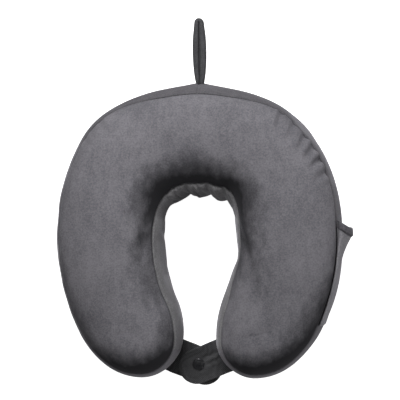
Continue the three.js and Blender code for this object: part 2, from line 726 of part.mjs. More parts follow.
// The pull lies along the zip, towards +X, and turns about its pin at the origin.
function zipPull() {
  const { length, window, half, rail, thickness, pinHalf } = PULL;
  const flat = [-thickness / 2, thickness / 2];
  const pin = new THREE.CylinderGeometry(PULL_PIN_RADIUS, PULL_PIN_RADIUS, 2 * pinHalf, 12);
  const parts = [
    toManifold(pin),
    box([-PULL_PIN_RADIUS, window + 1], [half - rail, half], flat),
    box([-PULL_PIN_RADIUS, window + 1], [-half, -half + rail], flat),
    box([window, length], [-half, half], flat),
  ];
  return fromManifold(wasm.Manifold.union(parts));
}

// A frame on the zip at an angle, turned so that its axes run along, down and out of the cone
function zipFrame(angle, out) {
  const origin = zipPoint(angle, 0, out);
  const along = new THREE.Vector3(Math.cos(angle * DEGREE), -Math.sin(angle * DEGREE), 0);
  const down = zipPoint(angle, -1, 0).sub(zipPoint(angle, 0, 0));
  const outward = zipPoint(angle, 0, 1).sub(zipPoint(angle, 0, 0));
  const frame = new THREE.Group();
  frame.position.copy(origin);
  frame.setRotationFromMatrix(new THREE.Matrix4().makeBasis(along, down, outward));
  pillow.add(frame);
  return frame;
}

// ---------- the assembly ----------

add('foam_core', foamCore(), MATERIALS.foam);
add('foam_liner', foamLiner(), MATERIALS.liner);
add('top_panel', topPanel(), MATERIALS.velour);
add('bottom_panel', bottomPanel(), MATERIALS.velour);
add('outer_band_right', band('outer', 1), MATERIALS.velour);
add('outer_band_left', band('outer', -1), MATERIALS.velour);
add('inner_band', band('inner', 0), MATERIALS.velour);
add('neck_elastic', neckElastic(), MATERIALS.elastic);
add('pocket_panel', pocketPanel(), MATERIALS.velour);
add('pocket_hem', pocketHem(), MATERIALS.velour);
add('hanging_loop', hangingLoop(), MATERIALS.velour).position.z = WIDEST_Z - LOOP_WIDTH_Z / 2;
closure();
add('zip_tape_upper', zipTape([WINDOW_TOP, ZIP_TOP, ZIP_TOP + 0.7]), MATERIALS.tape);
add('zip_tape_lower', zipTape([BOTTOM_SEAM + 1.8, ZIP_BOTTOM, WINDOW_BOTTOM]), MATERIALS.tape);
add('zip_coil_upper', coil(1), MATERIALS.coil);
add('zip_coil_lower', coil(-1), MATERIALS.coil);
add('zip_stop_right', zipStop(1), MATERIALS.slider);
add('zip_stop_left', zipStop(-1), MATERIALS.slider);
add('zip_slider', sliderBody(), MATERIALS.slider, zipFrame(SLIDER_REST, 0));
add('zip_pull', zipPull(), MATERIALS.slider, zipFrame(SLIDER_REST, PULL_PIN_OUT));

export default pillow;
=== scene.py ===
"""A U shaped neck pillow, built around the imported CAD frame.

Shapes are worked out in millimetres in the frame's own axes (+Z up through the thickness, the U
opens towards -Y) and turned into metres when a mesh is made. The cover is one grid of rays and
rings that follows the cushion; it is settled by cloth simulation and then split at its seams.
"""

import copy
import math

import bmesh
import bpy
import numpy as np
from mathutils import Matrix, Vector


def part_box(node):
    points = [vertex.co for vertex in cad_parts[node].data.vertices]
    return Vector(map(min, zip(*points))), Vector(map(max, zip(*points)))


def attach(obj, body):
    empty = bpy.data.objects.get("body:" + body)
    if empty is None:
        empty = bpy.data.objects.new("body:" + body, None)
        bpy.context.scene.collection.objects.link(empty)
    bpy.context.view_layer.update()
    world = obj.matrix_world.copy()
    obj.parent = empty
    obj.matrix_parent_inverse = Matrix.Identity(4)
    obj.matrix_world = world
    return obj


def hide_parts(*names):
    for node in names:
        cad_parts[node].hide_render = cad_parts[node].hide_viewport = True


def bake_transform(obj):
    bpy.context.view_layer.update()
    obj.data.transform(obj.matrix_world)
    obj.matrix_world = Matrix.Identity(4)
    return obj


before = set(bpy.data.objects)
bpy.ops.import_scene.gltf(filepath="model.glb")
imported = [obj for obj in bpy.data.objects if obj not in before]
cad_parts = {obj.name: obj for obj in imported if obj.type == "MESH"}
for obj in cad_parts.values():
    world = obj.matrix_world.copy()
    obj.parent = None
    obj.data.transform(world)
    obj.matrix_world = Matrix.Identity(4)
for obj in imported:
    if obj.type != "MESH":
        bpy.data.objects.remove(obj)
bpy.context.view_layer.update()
MM = 0.001


# ---------- the cushion's plan and section, as in the CAD ----------

BACK_Y = 54.0
NECK_Y = -54.0
HALF_WIDTH = 141.0
NECK_HALF_WIDTH = 36.5
WIDE_Y = -95.0
BACK_RADIUS = 180.0
BACK_HALF_ANGLE = 28.0
SHOULDER_RADIUS = 80.0
ARM_RADIUS = 222.0
ARM_TURN = 30.0
TIP_OUTER_RADIUS = 60.0
TIP_INNER_RADIUS = 42.0
INNER_ARM_RADIUS = 95.0
NECK_CORNER_RADIUS = 24.0
NECK_CORNER_START = 5.0
SPINE_HALF_ANGLE = 27.0
ARM_MIDDLE = np.array([88.7, -88.0])
TIP_CENTRE = np.array([68.0, -186.0])
NECK_FOCUS = np.array([0.0, -100.0])
BACK_CENTRE = np.array([0.0, BACK_Y - BACK_RADIUS])
SPINE_RADIUS = -BACK_CENTRE[1]
SPINE_END = 3.0

WIDEST_Z = 45.0
BOTTOM_DEPTH = 45.6
BOTTOM_POWER = 4.5
BOTTOM_SEAM_Z = 14.0
BACK_TOP, ARM_TOP, TIP_TOP = 94.0, 106.0, 100.0
TOP_SEAM_INSET = 5.0
ZIP_HALF_OPENING = 3.7  # along the cloth
COVER_CLOTH = 1.3
NECK_TUCK = 3.2  # how far the gathers press the inner layers back at the neck


def smooth(start, end, value):
    t = np.clip((value - start) / (end - start), 0, 1)
    return t * t * (3 - 2 * t)


def bump(value, centre, width):
    """A bell of height 1 that is almost gone at one and a half widths from its centre."""
    return np.exp(-2.0 * ((value - centre) / width) ** 2)


def unit(degrees):
    angle = np.radians(degrees)
    return np.stack([np.cos(angle), np.sin(angle)], axis=-1)


def normalised(vectors):
    return vectors / np.linalg.norm(vectors, axis=-1, keepdims=True)


def walk(line):
    """Distance run along a line at each of its points."""
    return np.concatenate([[0], np.cumsum(np.linalg.norm(np.diff(line, axis=0), axis=1))])


def radius_touching(along, across, radius):
    """Radius of a circle through a point that touches a second circle, as in the CAD."""
    return (along**2 + across**2 - radius**2) / (2 * (along - radius))


def right_outline():
    """The right half of the plan outline at its widest level, as points along tangent arcs."""

    def arc(centre, radius, start, end):
        return centre + radius * unit(np.linspace(start, end, 90))

    def angle_between(a, b):
        return math.degrees(math.atan2(b[1] - a[1], b[0] - a[0]))

    shoulder = BACK_CENTRE + (BACK_RADIUS - SHOULDER_RADIUS) * unit(90 - BACK_HALF_ANGLE)
    side_radius = radius_touching(HALF_WIDTH - shoulder[0], shoulder[1] - WIDE_Y, SHOULDER_RADIUS)
    side = np.array([HALF_WIDTH - side_radius, WIDE_Y])
    arm = np.array([HALF_WIDTH - ARM_RADIUS, WIDE_Y])
    tip_outer = arm + (ARM_RADIUS - TIP_OUTER_RADIUS) * unit(-ARM_TURN)
    tip_inner = tip_outer + (TIP_OUTER_RADIUS - TIP_INNER_RADIUS) * unit(-90)
    inner_arm = tip_inner + (INNER_ARM_RADIUS - TIP_INNER_RADIUS) * unit(0)
    hole_radius = radius_touching(
        NECK_HALF_WIDTH - inner_arm[0], inner_arm[1] - WIDE_Y, -INNER_ARM_RADIUS
    )
    hole = np.array([NECK_HALF_WIDTH - hole_radius, WIDE_Y])
    corner = hole + (hole_radius - NECK_CORNER_RADIUS) * unit(NECK_CORNER_START)
    neck_radius = radius_touching(NECK_Y - corner[1], corner[0], NECK_CORNER_RADIUS)
    neck = np.array([0.0, NECK_Y - neck_radius])
    shoulder_end = angle_between(side, shoulder)
    hole_start = angle_between(hole, inner_arm)
    corner_end = angle_between(neck, corner)
    return np.concatenate([
        arc(BACK_CENTRE, BACK_RADIUS, 90, 90 - BACK_HALF_ANGLE),
        arc(shoulder, SHOULDER_RADIUS, 90 - BACK_HALF_ANGLE, shoulder_end),
        arc(side, side_radius, shoulder_end, 0),
        arc(arm, ARM_RADIUS, 0, -ARM_TURN),
        arc(tip_outer, TIP_OUTER_RADIUS, -ARM_TURN, -90),
        arc(tip_inner, TIP_INNER_RADIUS, -90, -180),
        arc(inner_arm, INNER_ARM_RADIUS, 180, 180 + hole_start),
        arc(hole, hole_radius, hole_start, NECK_CORNER_START),
        arc(corner, NECK_CORNER_RADIUS, NECK_CORNER_START, corner_end),
        arc(neck, neck_radius, corner_end, 90),
    ])


OUTLINE = right_outline()


def reach(origin, heading):
    """How far a ray runs before it meets the outline."""
    start, edge = OUTLINE[:-1], OUTLINE[1:] - OUTLINE[:-1]
    offset = start - origin
    across = heading[0] * edge[:, 1] - heading[1] * edge[:, 0]
    across[np.abs(across) < 1e-12] = 1e-12
    along = (offset[:, 0] * edge[:, 1] - offset[:, 1] * edge[:, 0]) / across
    part = (offset[:, 0] * heading[1] - offset[:, 1] * heading[0]) / across
    return along[(along > 1) & (part >= -1e-6) & (part <= 1 + 1e-6)].min()


def bezier(a, b, c, d):
    t = np.linspace(0, 1, 400)[:, None]
    return a * (1 - t) ** 3 + 3 * b * t * (1 - t) ** 2 + 3 * c * t * t * (1 - t) + d * t**3


def spine_stretches():
    """The centre line's three stretches: the back arc, the upper arm and the lower arm."""
    back = BACK_CENTRE + SPINE_RADIUS * unit(np.linspace(90, 90 - SPINE_HALF_ANGLE, 400))
    joint, heading = back[-1], unit(-SPINE_HALF_ANGLE)
    upper = bezier(joint, joint + 26 * heading, ARM_MIDDLE + [0, 33], ARM_MIDDLE)
    lower = bezier(ARM_MIDDLE, ARM_MIDDLE - [0, 33], TIP_CENTRE + [10.5, 27], TIP_CENTRE)
    return [back, upper, lower]


SPINE = spine_stretches()
STRETCH_LENGTHS = [walk(line)[-1] for line in SPINE]


def spine_at(place):
    """Centre and outward direction at a place: the stretch's number plus the share of it run."""
    stretch = min(int(place), 2)
    line = SPINE[stretch]
    run = walk(line)
    at = (place - stretch) * run[-1]
    step = 0.3
    point, ahead, behind = (
        np.array([np.interp(np.clip(s, 0, run[-1]), run, line[:, i]) for i in (0, 1)])
        for s in (at, at + step, at - step)
    )
    tangent = normalised(ahead - behind)
    return point, np.array([-tangent[1], tangent[0]])


def top_at(place):
    return (
        BACK_TOP
        + (ARM_TOP - BACK_TOP) * smooth(0.3, 2, place)
        - (ARM_TOP - TIP_TOP) * smooth(2, SPINE_END, place)
    )


def outer_power(place):
    return 2.8 - 0.4 * smooth(2.3, SPINE_END, place)


def inner_power(place):
    return 2.0 + 0.5 * smooth(0.8, 2, place) - 0.1 * smooth(2, SPINE_END, place)


def seam_inset(place, zone, hand):
    """The top seam runs further in at the back, more so round the neck, and inside the left arm."""
    if zone == "outer":
        return TOP_SEAM_INSET + 3.5 * (1 - smooth(0.3, 1.1, place))
    along_arm = smooth(1.0, 2.0, place) * (1 - smooth(2.6, 3.0, place))
    at_arm = (-3.0 if hand > 0 else 1.5) * along_arm
    return TOP_SEAM_INSET + 5.5 * (1 - smooth(0.6, 1.6, place)) + at_arm


SHOULDER_EASE = 3.9
TIP_EASE_RIGHT, TIP_EASE_LEFT = 4.6, 3.2
NECK_EASE, NECK_EASE_RIGHT, NECK_EASE_LEFT = 2.3, 3.6, 1.0
ARM_HOLLOW = 2.4


def eased(points):
    """The sewn shape next to the cushion's even one: the right shoulder is flatter, both tips turn
    in, the neck opening is squarer, more so on its right, and the right arm's inner side is
    hollower. The shoulder and the tips stay as they are at the zip's level."""
    x, y, z = points.T
    high = smooth(14, 40, z)
    shoulder = SHOULDER_EASE * high * bump(np.hypot(x - 108, y - 16), 0, 36)
    off_gap = 0.35 + 0.65 * smooth(35, 70, np.abs(x))
    at_tip = np.where(x > 0, TIP_EASE_RIGHT, TIP_EASE_LEFT) * smooth(-190, -222, y)
    turn_in = high * at_tip * off_gap
    corners = NECK_EASE_LEFT * bump(x, -24, 8) + NECK_EASE_RIGHT * bump(x, 31, 10)
    neck = (NECK_EASE + corners) * bump(y, -58, 26)
    hollow = ARM_HOLLOW * bump(y, -105, 40) * smooth(65, 42, x) * (x > 0)
    moved_x = x - 0.66 * shoulder - np.sign(x) * turn_in + hollow
    return np.column_stack([moved_x, y - 0.75 * shoulder + neck, z])


class Ray:
    """A ray from the spine to the outline, with the section's shape above and below it."""

    def __init__(self, zone, place, centre, heading, power, hand=1):
        self.zone, self.place, self.hand = zone, place, hand
        self.centre, self.heading, self.power = centre, heading, power
        self.reach = reach(centre, heading)
        self.top = top_at(place)

    def mirrored(self):
        other = copy.copy(self)
        other.hand = -1
        other.centre = self.centre * [-1, 1]
        other.heading = self.heading * [-1, 1]
        return other

    def profile(self, depth=0.0):
        """Run outwards, height and distance walked from the top centre to the bottom centre."""
        turn = np.linspace(0, math.pi / 2, 160)
        run_top = np.sin(turn) ** (2 / self.power)
        rise = np.cos(turn) ** (2 / self.power)
        run_bottom = np.cos(turn) ** (2 / BOTTOM_POWER)
        drop = np.sin(turn) ** (2 / BOTTOM_POWER)
        run = np.concatenate([run_top, run_bottom[1:]]) * (self.reach - depth)
        high = WIDEST_Z + rise * (self.top - depth - WIDEST_Z)
        low = np.maximum(depth, WIDEST_Z - drop[1:] * (BOTTOM_DEPTH - depth))
        z = np.concatenate([high, low])
        return run, z, walk(np.column_stack([run, z]))

    def place_points(self, distances, depth=0.0):
        """Points at these distances along the section from the top centre."""
        run, z, walked = self.profile(depth)
        plan = self.centre + np.interp(distances, walked, run)[:, None] * self.heading
        return eased(np.column_stack([plan, np.interp(distances, walked, z)]))

    def distance_down_to(self, height):
        """Distance along the section to a height below its widest level."""
        run, z, walked = self.profile()
        widest = int(np.argmax(run))
        return np.interp(-height, -z[widest:], walked[widest:])

    def landmarks(self):
        """Distances along the section to the top seam, the bottom seam and the bottom centre."""
        run, _, walked = self.profile()
        widest = int(np.argmax(run))
        inset = seam_inset(self.place, self.zone, self.hand)
        top_seam = np.interp(self.reach - inset, run[:widest], walked[:widest])
        return top_seam, self.distance_down_to(BOTTOM_SEAM_Z), walked[-1]


def spine_ray(zone, place):
    centre, outward = spine_at(place)
    if zone == "outer":
        return Ray(zone, place, centre, outward, outer_power(place))
    aim = normalised(NECK_FOCUS - centre)
    square = smooth(1.5, SPINE_END, place)
    return Ray(zone, place, centre, normalised(aim * (1 - square) - outward * square), inner_power(place))


def tip_ray(zone, share):
    centre, outward = spine_at(SPINE_END)
    start = math.degrees(math.atan2(outward[1], outward[0]))
    power = outer_power(SPINE_END) * (1 - share) + inner_power(SPINE_END) * share
    return Ray(zone, SPINE_END, centre, unit(start - 180 * share), power)


BAND_JOIN = 0.75
TIP_LENGTH = 157.0  # roughly, round the tip's outline
GROOVE_STEPS = np.array([0.5, 1.3, 2.6])  # grid lines either side of a seam


def build_rays():
    """Rays all round the cushion, with extra ones either side of the upright seams."""
    back, upper, lower = STRETCH_LENGTHS
    places = np.concatenate([
        [0],
        GROOVE_STEPS / back,
        np.linspace(5.5, back, 15) / back,
        1 + np.linspace(0, 1, 25)[1:],
        2 + np.linspace(0, 1, 25)[1:],
    ])
    near = GROOVE_STEPS / TIP_LENGTH
    outer_shares = np.concatenate([np.linspace(0, 0.725, 19)[1:], BAND_JOIN - near[::-1], [BAND_JOIN]])
    inner_shares = np.concatenate([BAND_JOIN + near, np.linspace(0.775, 1, 7)[:-1]])
    right = [spine_ray("outer", p) for p in places]
    right += [tip_ray("outer", s) for s in outer_shares]
    right += [tip_ray("inner", s) for s in inner_shares]
    right += [spine_ray("inner", p) for p in places[::-1]]
    return right + [ray.mirrored() for ray in right[-2:0:-1]]


RAYS = build_rays()
TOP_COUNT, BAND_COUNT, BOTTOM_COUNT = 13, 18, 12


def ring_distances(ray):
    """Distances of the rings along a section, closer together beside the two seams."""
    top_seam, bottom_seam, end = ray.landmarks()
    groove = np.concatenate([-GROOVE_STEPS[::-1], [0], GROOVE_STEPS])
    clear = GROOVE_STEPS[-1] + 2.2
    return np.concatenate([
        np.linspace(0, top_seam - clear, TOP_COUNT),
        top_seam + groove,
        np.linspace(top_seam + clear, bottom_seam - clear - 1.5, BAND_COUNT),
        [bottom_seam - ZIP_HALF_OPENING],
        bottom_seam + groove,
        [bottom_seam + ZIP_HALF_OPENING],
        np.linspace(bottom_seam + clear + 1.5, end, BOTTOM_COUNT),
    ])


TOP_SEAM = TOP_COUNT + 3
BOTTOM_SEAM = TOP_COUNT + 7 + BAND_COUNT + 1 + 3
ZIP_UPPER, ZIP_LOWER = BOTTOM_SEAM - 4, BOTTOM_SEAM + 4
RING_COUNT = len(ring_distances(RAYS[0]))
RAY_COUNT = len(RAYS)


# ---------- meshes ----------


def add_object(name, data):
    obj = bpy.data.objects.new(name, data)
    bpy.context.scene.collection.objects.link(obj)
    return obj


def make_object(name, points, faces, smooth_shading=True):
    """A mesh object from points in millimetres."""
    mesh = bpy.data.meshes.new(name)
    mesh.from_pydata((np.asarray(points, float) * MM).tolist(), [], [list(map(int, f)) for f in faces])
    mesh.validate()
    mesh.polygons.foreach_set("use_smooth", [smooth_shading] * len(mesh.polygons))
    return add_object(name, mesh)


def face_outwards(obj, weld=0.0):
    """Turns the faces of a closed mesh so that they all point out, with close points welded."""
    work = bmesh.new()
    work.from_mesh(obj.data)
    if weld:
        bmesh.ops.remove_doubles(work, verts=work.verts, dist=weld * MM)
    bmesh.ops.recalc_face_normals(work, faces=work.faces)
    work.to_mesh(obj.data)
    work.free()
    return obj


def points_of(mesh):
    flat = np.empty(len(mesh.vertices) * 3)
    mesh.vertices.foreach_get("co", flat)
    return flat.reshape(-1, 3) / MM


def set_points(obj, points):
    obj.data.vertices.foreach_set("co", (points * MM).ravel())
    obj.data.update()


def grid_faces(rows, columns, close_rows=False, close_columns=False):
    """Quads over a grid whose vertices are numbered row by row."""
    faces = []
    for i in range(rows if close_rows else rows - 1):
        for j in range(columns if close_columns else columns - 1):
            a, b = i * columns, ((i + 1) % rows) * columns
            k = (j + 1) % columns
            faces.append((a + j, a + k, b + k, b + j))
    return faces


def subdivide(obj, levels):
    modifier = obj.modifiers.new("Smooth", "SUBSURF")
    modifier.levels = modifier.render_levels = levels
    return modifier


def thicken(obj, thickness):
    modifier = obj.modifiers.new("Cloth thickness", "SOLIDIFY")
    modifier.thickness = thickness * MM
    modifier.offset = -1.0
    modifier.use_even_offset = False


def apply_modifiers(obj):
    mesh = bpy.data.meshes.new_from_object(obj.evaluated_get(bpy.context.evaluated_depsgraph_get()))
    obj.modifiers.clear()
    obj.data = mesh


def dress(obj, node, material):
    """Gives a piece its material and slot, and hides the CAD node that it stands in for."""
    obj.data.materials.append(material)
    if node:
        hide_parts(node)
    return obj


def finish_piece(obj, body, node, material):
    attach(dress(obj, node, material), body)


class CoverGrid:
    """The cover's vertices, numbered by ray and ring. Rings at the top and bottom centre line are
    shared by the rays that start from the same point of the spine."""

    def __init__(self):
        self.number = np.zeros((RAY_COUNT, RING_COUNT), int)
        points, shared = [], {}
        for j, ray in enumerate(RAYS):
            for k, point in enumerate(ray.place_points(ring_distances(ray))):
                key = (k, *np.round(point, 3)) if k in (0, RING_COUNT - 1) else (j, k)
                if key not in shared:
                    shared[key] = len(points)
                    points.append(point)
                self.number[j, k] = shared[key]
        self.points = np.array(points)

    def cell(self, j, k):
        """The distinct corners of the cell between rays j and j + 1 and rings k and k + 1."""
        n, following = self.number, (j + 1) % RAY_COUNT
        corners = [n[j, k], n[following, k], n[following, k + 1], n[j, k + 1]]
        return list(dict.fromkeys(corners))

    def faces(self, keep=lambda j, k: True):
        places = ((j, k) for j in range(RAY_COUNT) for k in range(RING_COUNT - 1))
        cells = (self.cell(j, k) for j, k in places if keep(j, k))
        return [c for c in cells if len(c) > 2]


COVER = CoverGrid()


def cell_zone(j):
    """outer_right, outer_left or inner, for the cells between ray j and the next."""
    ray, following = RAYS[j], RAYS[(j + 1) % RAY_COUNT]
    if "inner" in (ray.zone, following.zone):
        return "inner"
    middle = ray.heading[0] * ray.reach + ray.centre[0] + following.heading[0] * following.reach
    return "outer_right" if middle + following.centre[0] > 0 else "outer_left"


def in_zip(j):
    ray, following = RAYS[j], RAYS[(j + 1) % RAY_COUNT]
    return ray.zone == following.zone == "outer" and max(ray.place, following.place) <= 1.0


def belongs(panel, j, k):
    """Whether the cell of ray j and ring k is part of a panel."""
    if panel == "top":
        return k < TOP_SEAM
    if panel == "bottom":
        return k >= BOTTOM_SEAM and not (in_zip(j) and k < ZIP_LOWER)
    in_band = TOP_SEAM <= k < BOTTOM_SEAM and not (in_zip(j) and k >= ZIP_UPPER)
    return in_band and cell_zone(j) == panel


# ---------- the cover's shape ----------


def vertex_table():
    """For each cover vertex: its ray's place, whether that is an inner ray, and its ring."""
    count = len(COVER.points)
    table = {name: np.zeros(count) for name in ("place", "inner", "ring")}
    for j, ray in enumerate(RAYS):
        numbers = COVER.number[j]
        table["place"][numbers] = ray.place
        table["inner"][numbers] = ray.zone == "inner"
        table["ring"][numbers] = np.arange(RING_COUNT)
    return table


LOOP_MIDDLE_Z = np.mean(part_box("hanging_loop"), axis=0)[2] / MM
PINCH_PULL, PINCH_HALF_WIDTH, PINCH_HEIGHT = 4.0, 34.0, 30.0
RUCHE_DEPTH = 5.4
RUCHE_HEIGHTS = (0.6, 0.85, 1.0, 0.85, 0.6)  # of the lobes, as shares
RUCHE_DIPS = (-48.0, -35.0, -9.5, 11.5, 27.5, 41.0)  # across the neck, between one lobe and the next
RUCHE_FOLD_PITCH, RUCHE_FOLD_DEPTH, RUCHE_SLANT = 6.4, 2.0, 0.4
SHOULDER_PUCKERS = [  # start on the seam, end, half width, depth
    ((82, 27), (77, 6), 3.4, 2.4),
    ((95, 18), (88, -2), 3.0, 1.6),
    ((107, 8), (98, -11), 3.6, 2.6),
    ((115, -4), (104, -21), 3.8, 2.4),
    ((123, -16), (108, -29), 3.6, 2.8),
    ((129, -30), (113, -40), 4.0, 2.2),
    ((-96, 20), (-88, 2), 3.6, 0.9),
    ((-112, 6), (-103, -11), 3.6, 0.9),
]


def segment_distance(points, start, end):
    """Distance to a segment in plan, and the share of it run."""
    start, end = np.array(start, float), np.array(end, float)
    way = end - start
    share = np.clip(((points - start) @ way) / (way @ way), 0, 1)
    nearest = start + share[:, None] * way
    return np.linalg.norm(points - nearest, axis=1), share


def shape_cover(points, table, normals):
    """Pinch at the loop and gathers at the neck, before the cloth settles."""
    shaped = points.copy()
    outer_back = (table["inner"] == 0) & (points[:, 1] > 0)
    pull = np.maximum(0, 1 - np.abs(points[:, 0]) / PINCH_HALF_WIDTH) ** 2
    pull *= bump(points[:, 2], LOOP_MIDDLE_Z, PINCH_HEIGHT) * PINCH_PULL
    shaped[:, 1] += np.where(outer_back & (table["ring"] > TOP_SEAM - 4), pull, 0)

    return shaped + normals * neck_gather(points, table)[:, None]


PUCKER_REGION = 14.0  # from a crease's line, the part of the panel that gets a finer mesh


def pucker_shoulders(obj):
    """Short creases that run in from the top seam where the panel was eased round the shoulders."""
    apply_modifiers(obj)
    work = bmesh.new()
    work.from_mesh(obj.data)
    work.verts.ensure_lookup_table()
    plan = np.array([v.co[:2] for v in work.verts]) / MM
    distances = [segment_distance(plan, start, end)[0] for start, end, _, _ in SHOULDER_PUCKERS]
    near = np.min(distances, axis=0) < PUCKER_REGION
    edges = [e for e in work.edges if all(near[v.index] for v in e.verts) and not e.is_boundary]
    bmesh.ops.subdivide_edges(work, edges=edges, cuts=1, use_grid_fill=True, smooth=0.0)
    work.normal_update()
    rim = np.array([v.co for v in work.verts if v.is_boundary]) / MM
    points = np.array([v.co for v in work.verts]) / MM
    normals = np.array([v.normal for v in work.verts])
    sink = np.zeros(len(points))
    for start, end, width, depth in SHOULDER_PUCKERS:
        distance, share = segment_distance(points[:, :2], start, end)
        crease = bump(distance, 0, width) * (1 - share) ** 0.6
        ridge = bump(distance, 1.5 * width, 0.8 * width) * (1 - share)
        sink += depth * (crease - 0.5 * ridge)
    for vertex, point, normal, drop in zip(work.verts, points, normals, sink):
        if abs(drop) > 0.02:
            clear = smooth(0.5, 5.0, np.linalg.norm(rim - point, axis=1).min())
            vertex.co = (point - normal * drop * clear) * MM
    work.to_mesh(obj.data)
    work.free()


def neck_gather(points, table):
    """Folds of the inner band at the back of the neck, upright, deepest at its middle height."""
    across = points[:, 0] + 0.08 * (points[:, 2] - WIDEST_Z)
    lobes = np.zeros(len(points))
    for start, end, height in zip(RUCHE_DIPS, RUCHE_DIPS[1:], RUCHE_HEIGHTS):
        share = np.clip((across - start) / (end - start), 0, 1)
        lobes += height * np.sin(math.pi * share) ** 0.6
    slanted = points[:, 0] + RUCHE_SLANT * (points[:, 2] - WIDEST_Z)
    folds = RUCHE_FOLD_DEPTH * np.sin(math.tau * slanted / RUCHE_FOLD_PITCH)
    inside = (table["inner"] == 1) * (1 - smooth(0.95, 1.3, table["place"]))
    band = (table["ring"] - TOP_SEAM) / (BOTTOM_SEAM - TOP_SEAM)
    height = 0.15 + 0.85 * smooth(0, 0.2, band) * (1 - 0.8 * smooth(0.6, 1, band))
    height *= np.where(band < 0, np.exp(band * 9), np.where(band > 1, np.exp((1 - band) * 6), 1))
    return inside * height * (RUCHE_DEPTH * (lobes - 0.38) + folds * (0.3 + 0.7 * lobes))


def vertex_normals(points, faces):
    """Area weighted vertex normals of a polygon mesh."""
    normals = np.zeros_like(points)
    for size in (3, 4):
        group = np.array([f for f in faces if len(f) == size])
        if not len(group):
            continue
        first = points[group[:, 2]] - points[group[:, 0]]
        second = points[group[:, -1]] - points[group[:, 1]]
        if size == 3:
            second = points[group[:, 2]] - points[group[:, 1]]
        face_normals = np.cross(first, second)
        for corner in range(size):
            np.add.at(normals, group[:, corner], face_normals)
    return normalised(normals)


CLOTH_FRAMES = 18
CLOTH_CAP = 3.2
CLOTH_SLACK = -0.007
CLOTH_PRESSURE = 1.6
TIP_FAN_RINGS = 4


def even_out(moved):
    """Evens the cloth's movement where the grid lines crowd together, beside an upright seam and
    round the middle of each tip."""
    field = moved[COVER.number]
    ends = COVER.points[COVER.number[:, TOP_SEAM]]
    gaps = np.linalg.norm(np.roll(ends, -1, axis=0) - ends, axis=1)
    for _ in range(2):
        field = 0.5 * field + 0.25 * (np.roll(field, 1, axis=0) + np.roll(field, -1, axis=0))
    joins = [0, RAY_COUNT // 2] + [j for j in range(RAY_COUNT) if is_band_join(j)]
    reach_out = len(GROOVE_STEPS) + 2
    for join in joins:
        stretch = [(join + step) % RAY_COUNT for step in range(-reach_out, reach_out + 1)]
        run = np.concatenate([[0], np.cumsum(gaps[stretch[:-1]])])
        for number, share in zip(stretch[1:-1], run[1:-1] / run[-1]):
            field[number] = field[stretch[0]] * (1 - share) + field[stretch[-1]] * share
    evened = moved.copy()
    inner = slice(1, RING_COUNT - 1)
    for hand in (1, -1):
        fan = [j for j, ray in enumerate(RAYS) if ray.place == SPINE_END and ray.hand == hand]
        edge = field[fan, TIP_FAN_RINGS].copy()
        middle = edge.mean(axis=0)
        for ring in range(TIP_FAN_RINGS):
            field[fan, ring] = middle + (edge - middle) * ring / TIP_FAN_RINGS
        evened[COVER.number[fan[0], 0]] = middle
    evened[COVER.number[:, inner]] = field[:, inner]
    return evened


def settle_cloth(points, faces, pinned):
    """Runs Blender's cloth on a closed cover with its seams pinned, and returns the points."""
    obj = make_object("cloth_work", points, faces)
    pins = obj.vertex_groups.new(name="pins")
    pins.add(np.flatnonzero(pinned).tolist(), 1.0, "REPLACE")
    modifier = obj.modifiers.new("Cloth", "CLOTH")
    cloth = modifier.settings
    cloth.quality = 6
    cloth.mass = 0.25
    cloth.tension_stiffness = cloth.compression_stiffness = 12
    cloth.shear_stiffness = 4
    cloth.bending_stiffness = 0.4
    cloth.vertex_group_mass = "pins"
    cloth.pin_stiffness = 5
    cloth.shrink_min = CLOTH_SLACK
    cloth.use_pressure = True
    cloth.uniform_pressure_force = CLOTH_PRESSURE
    cloth.effector_weights.gravity = 0
    modifier.collision_settings.use_collision = False
    for number in range(1, CLOTH_FRAMES + 1):
        bpy.context.scene.frame_set(number)
    settled = obj.evaluated_get(bpy.context.evaluated_depsgraph_get())
    moved = even_out(points_of(settled.data) - points)
    far = np.linalg.norm(moved, axis=1, keepdims=True)
    bpy.data.objects.remove(obj)
    bpy.context.scene.frame_set(1)
    return points + moved * np.minimum(1, CLOTH_CAP / np.maximum(far, 1e-6))


SEAM_PROFILE = {0: 2.3, 1: 1.5, 2: 0.6, 3: 0.12}  # depth by grid lines from the seam


def press_seams(points, normals, table):
    """Draws the cloth in along every seam, so that each panel's edge rolls under."""
    depth = np.zeros(len(points))
    for steps, drop in SEAM_PROFILE.items():
        for seam in (TOP_SEAM, BOTTOM_SEAM):
            depth = np.where(np.abs(table["ring"] - seam) == steps, drop, depth)
    band = slice(TOP_SEAM, BOTTOM_SEAM + 1)
    joins = [0] + [j for j, ray in enumerate(RAYS) if is_band_join(j)]
    for join in joins:
        for steps, drop in SEAM_PROFILE.items():
            for side in {-steps, steps}:
                numbers = COVER.number[(join + side) % RAY_COUNT, band]
                depth[numbers] = np.maximum(depth[numbers], (0.8 if join == 0 else 0.15) * drop)
    return points - normals * depth[:, None]


def is_band_join(j):
    ray, following = RAYS[j], RAYS[(j + 1) % RAY_COUNT]
    return {ray.zone, following.zone} == {"outer", "inner"} and ray.place == SPINE_END


def build_cover_points():
    table = vertex_table()
    faces = COVER.faces()
    normals = vertex_normals(COVER.points, faces)
    points = shape_cover(COVER.points, table, normals)
    pinned = np.abs(table["ring"] - TOP_SEAM) <= 1
    pinned |= np.abs(table["ring"] - BOTTOM_SEAM) <= 4
    pinned |= points[:, 2] < 1.0
    points = settle_cloth(points, faces, pinned)
    points[:, 2] = np.maximum(points[:, 2], 0.0)
    normals = vertex_normals(points, faces)
    return press_seams(points, normals, table)


COVER_POINTS = build_cover_points()


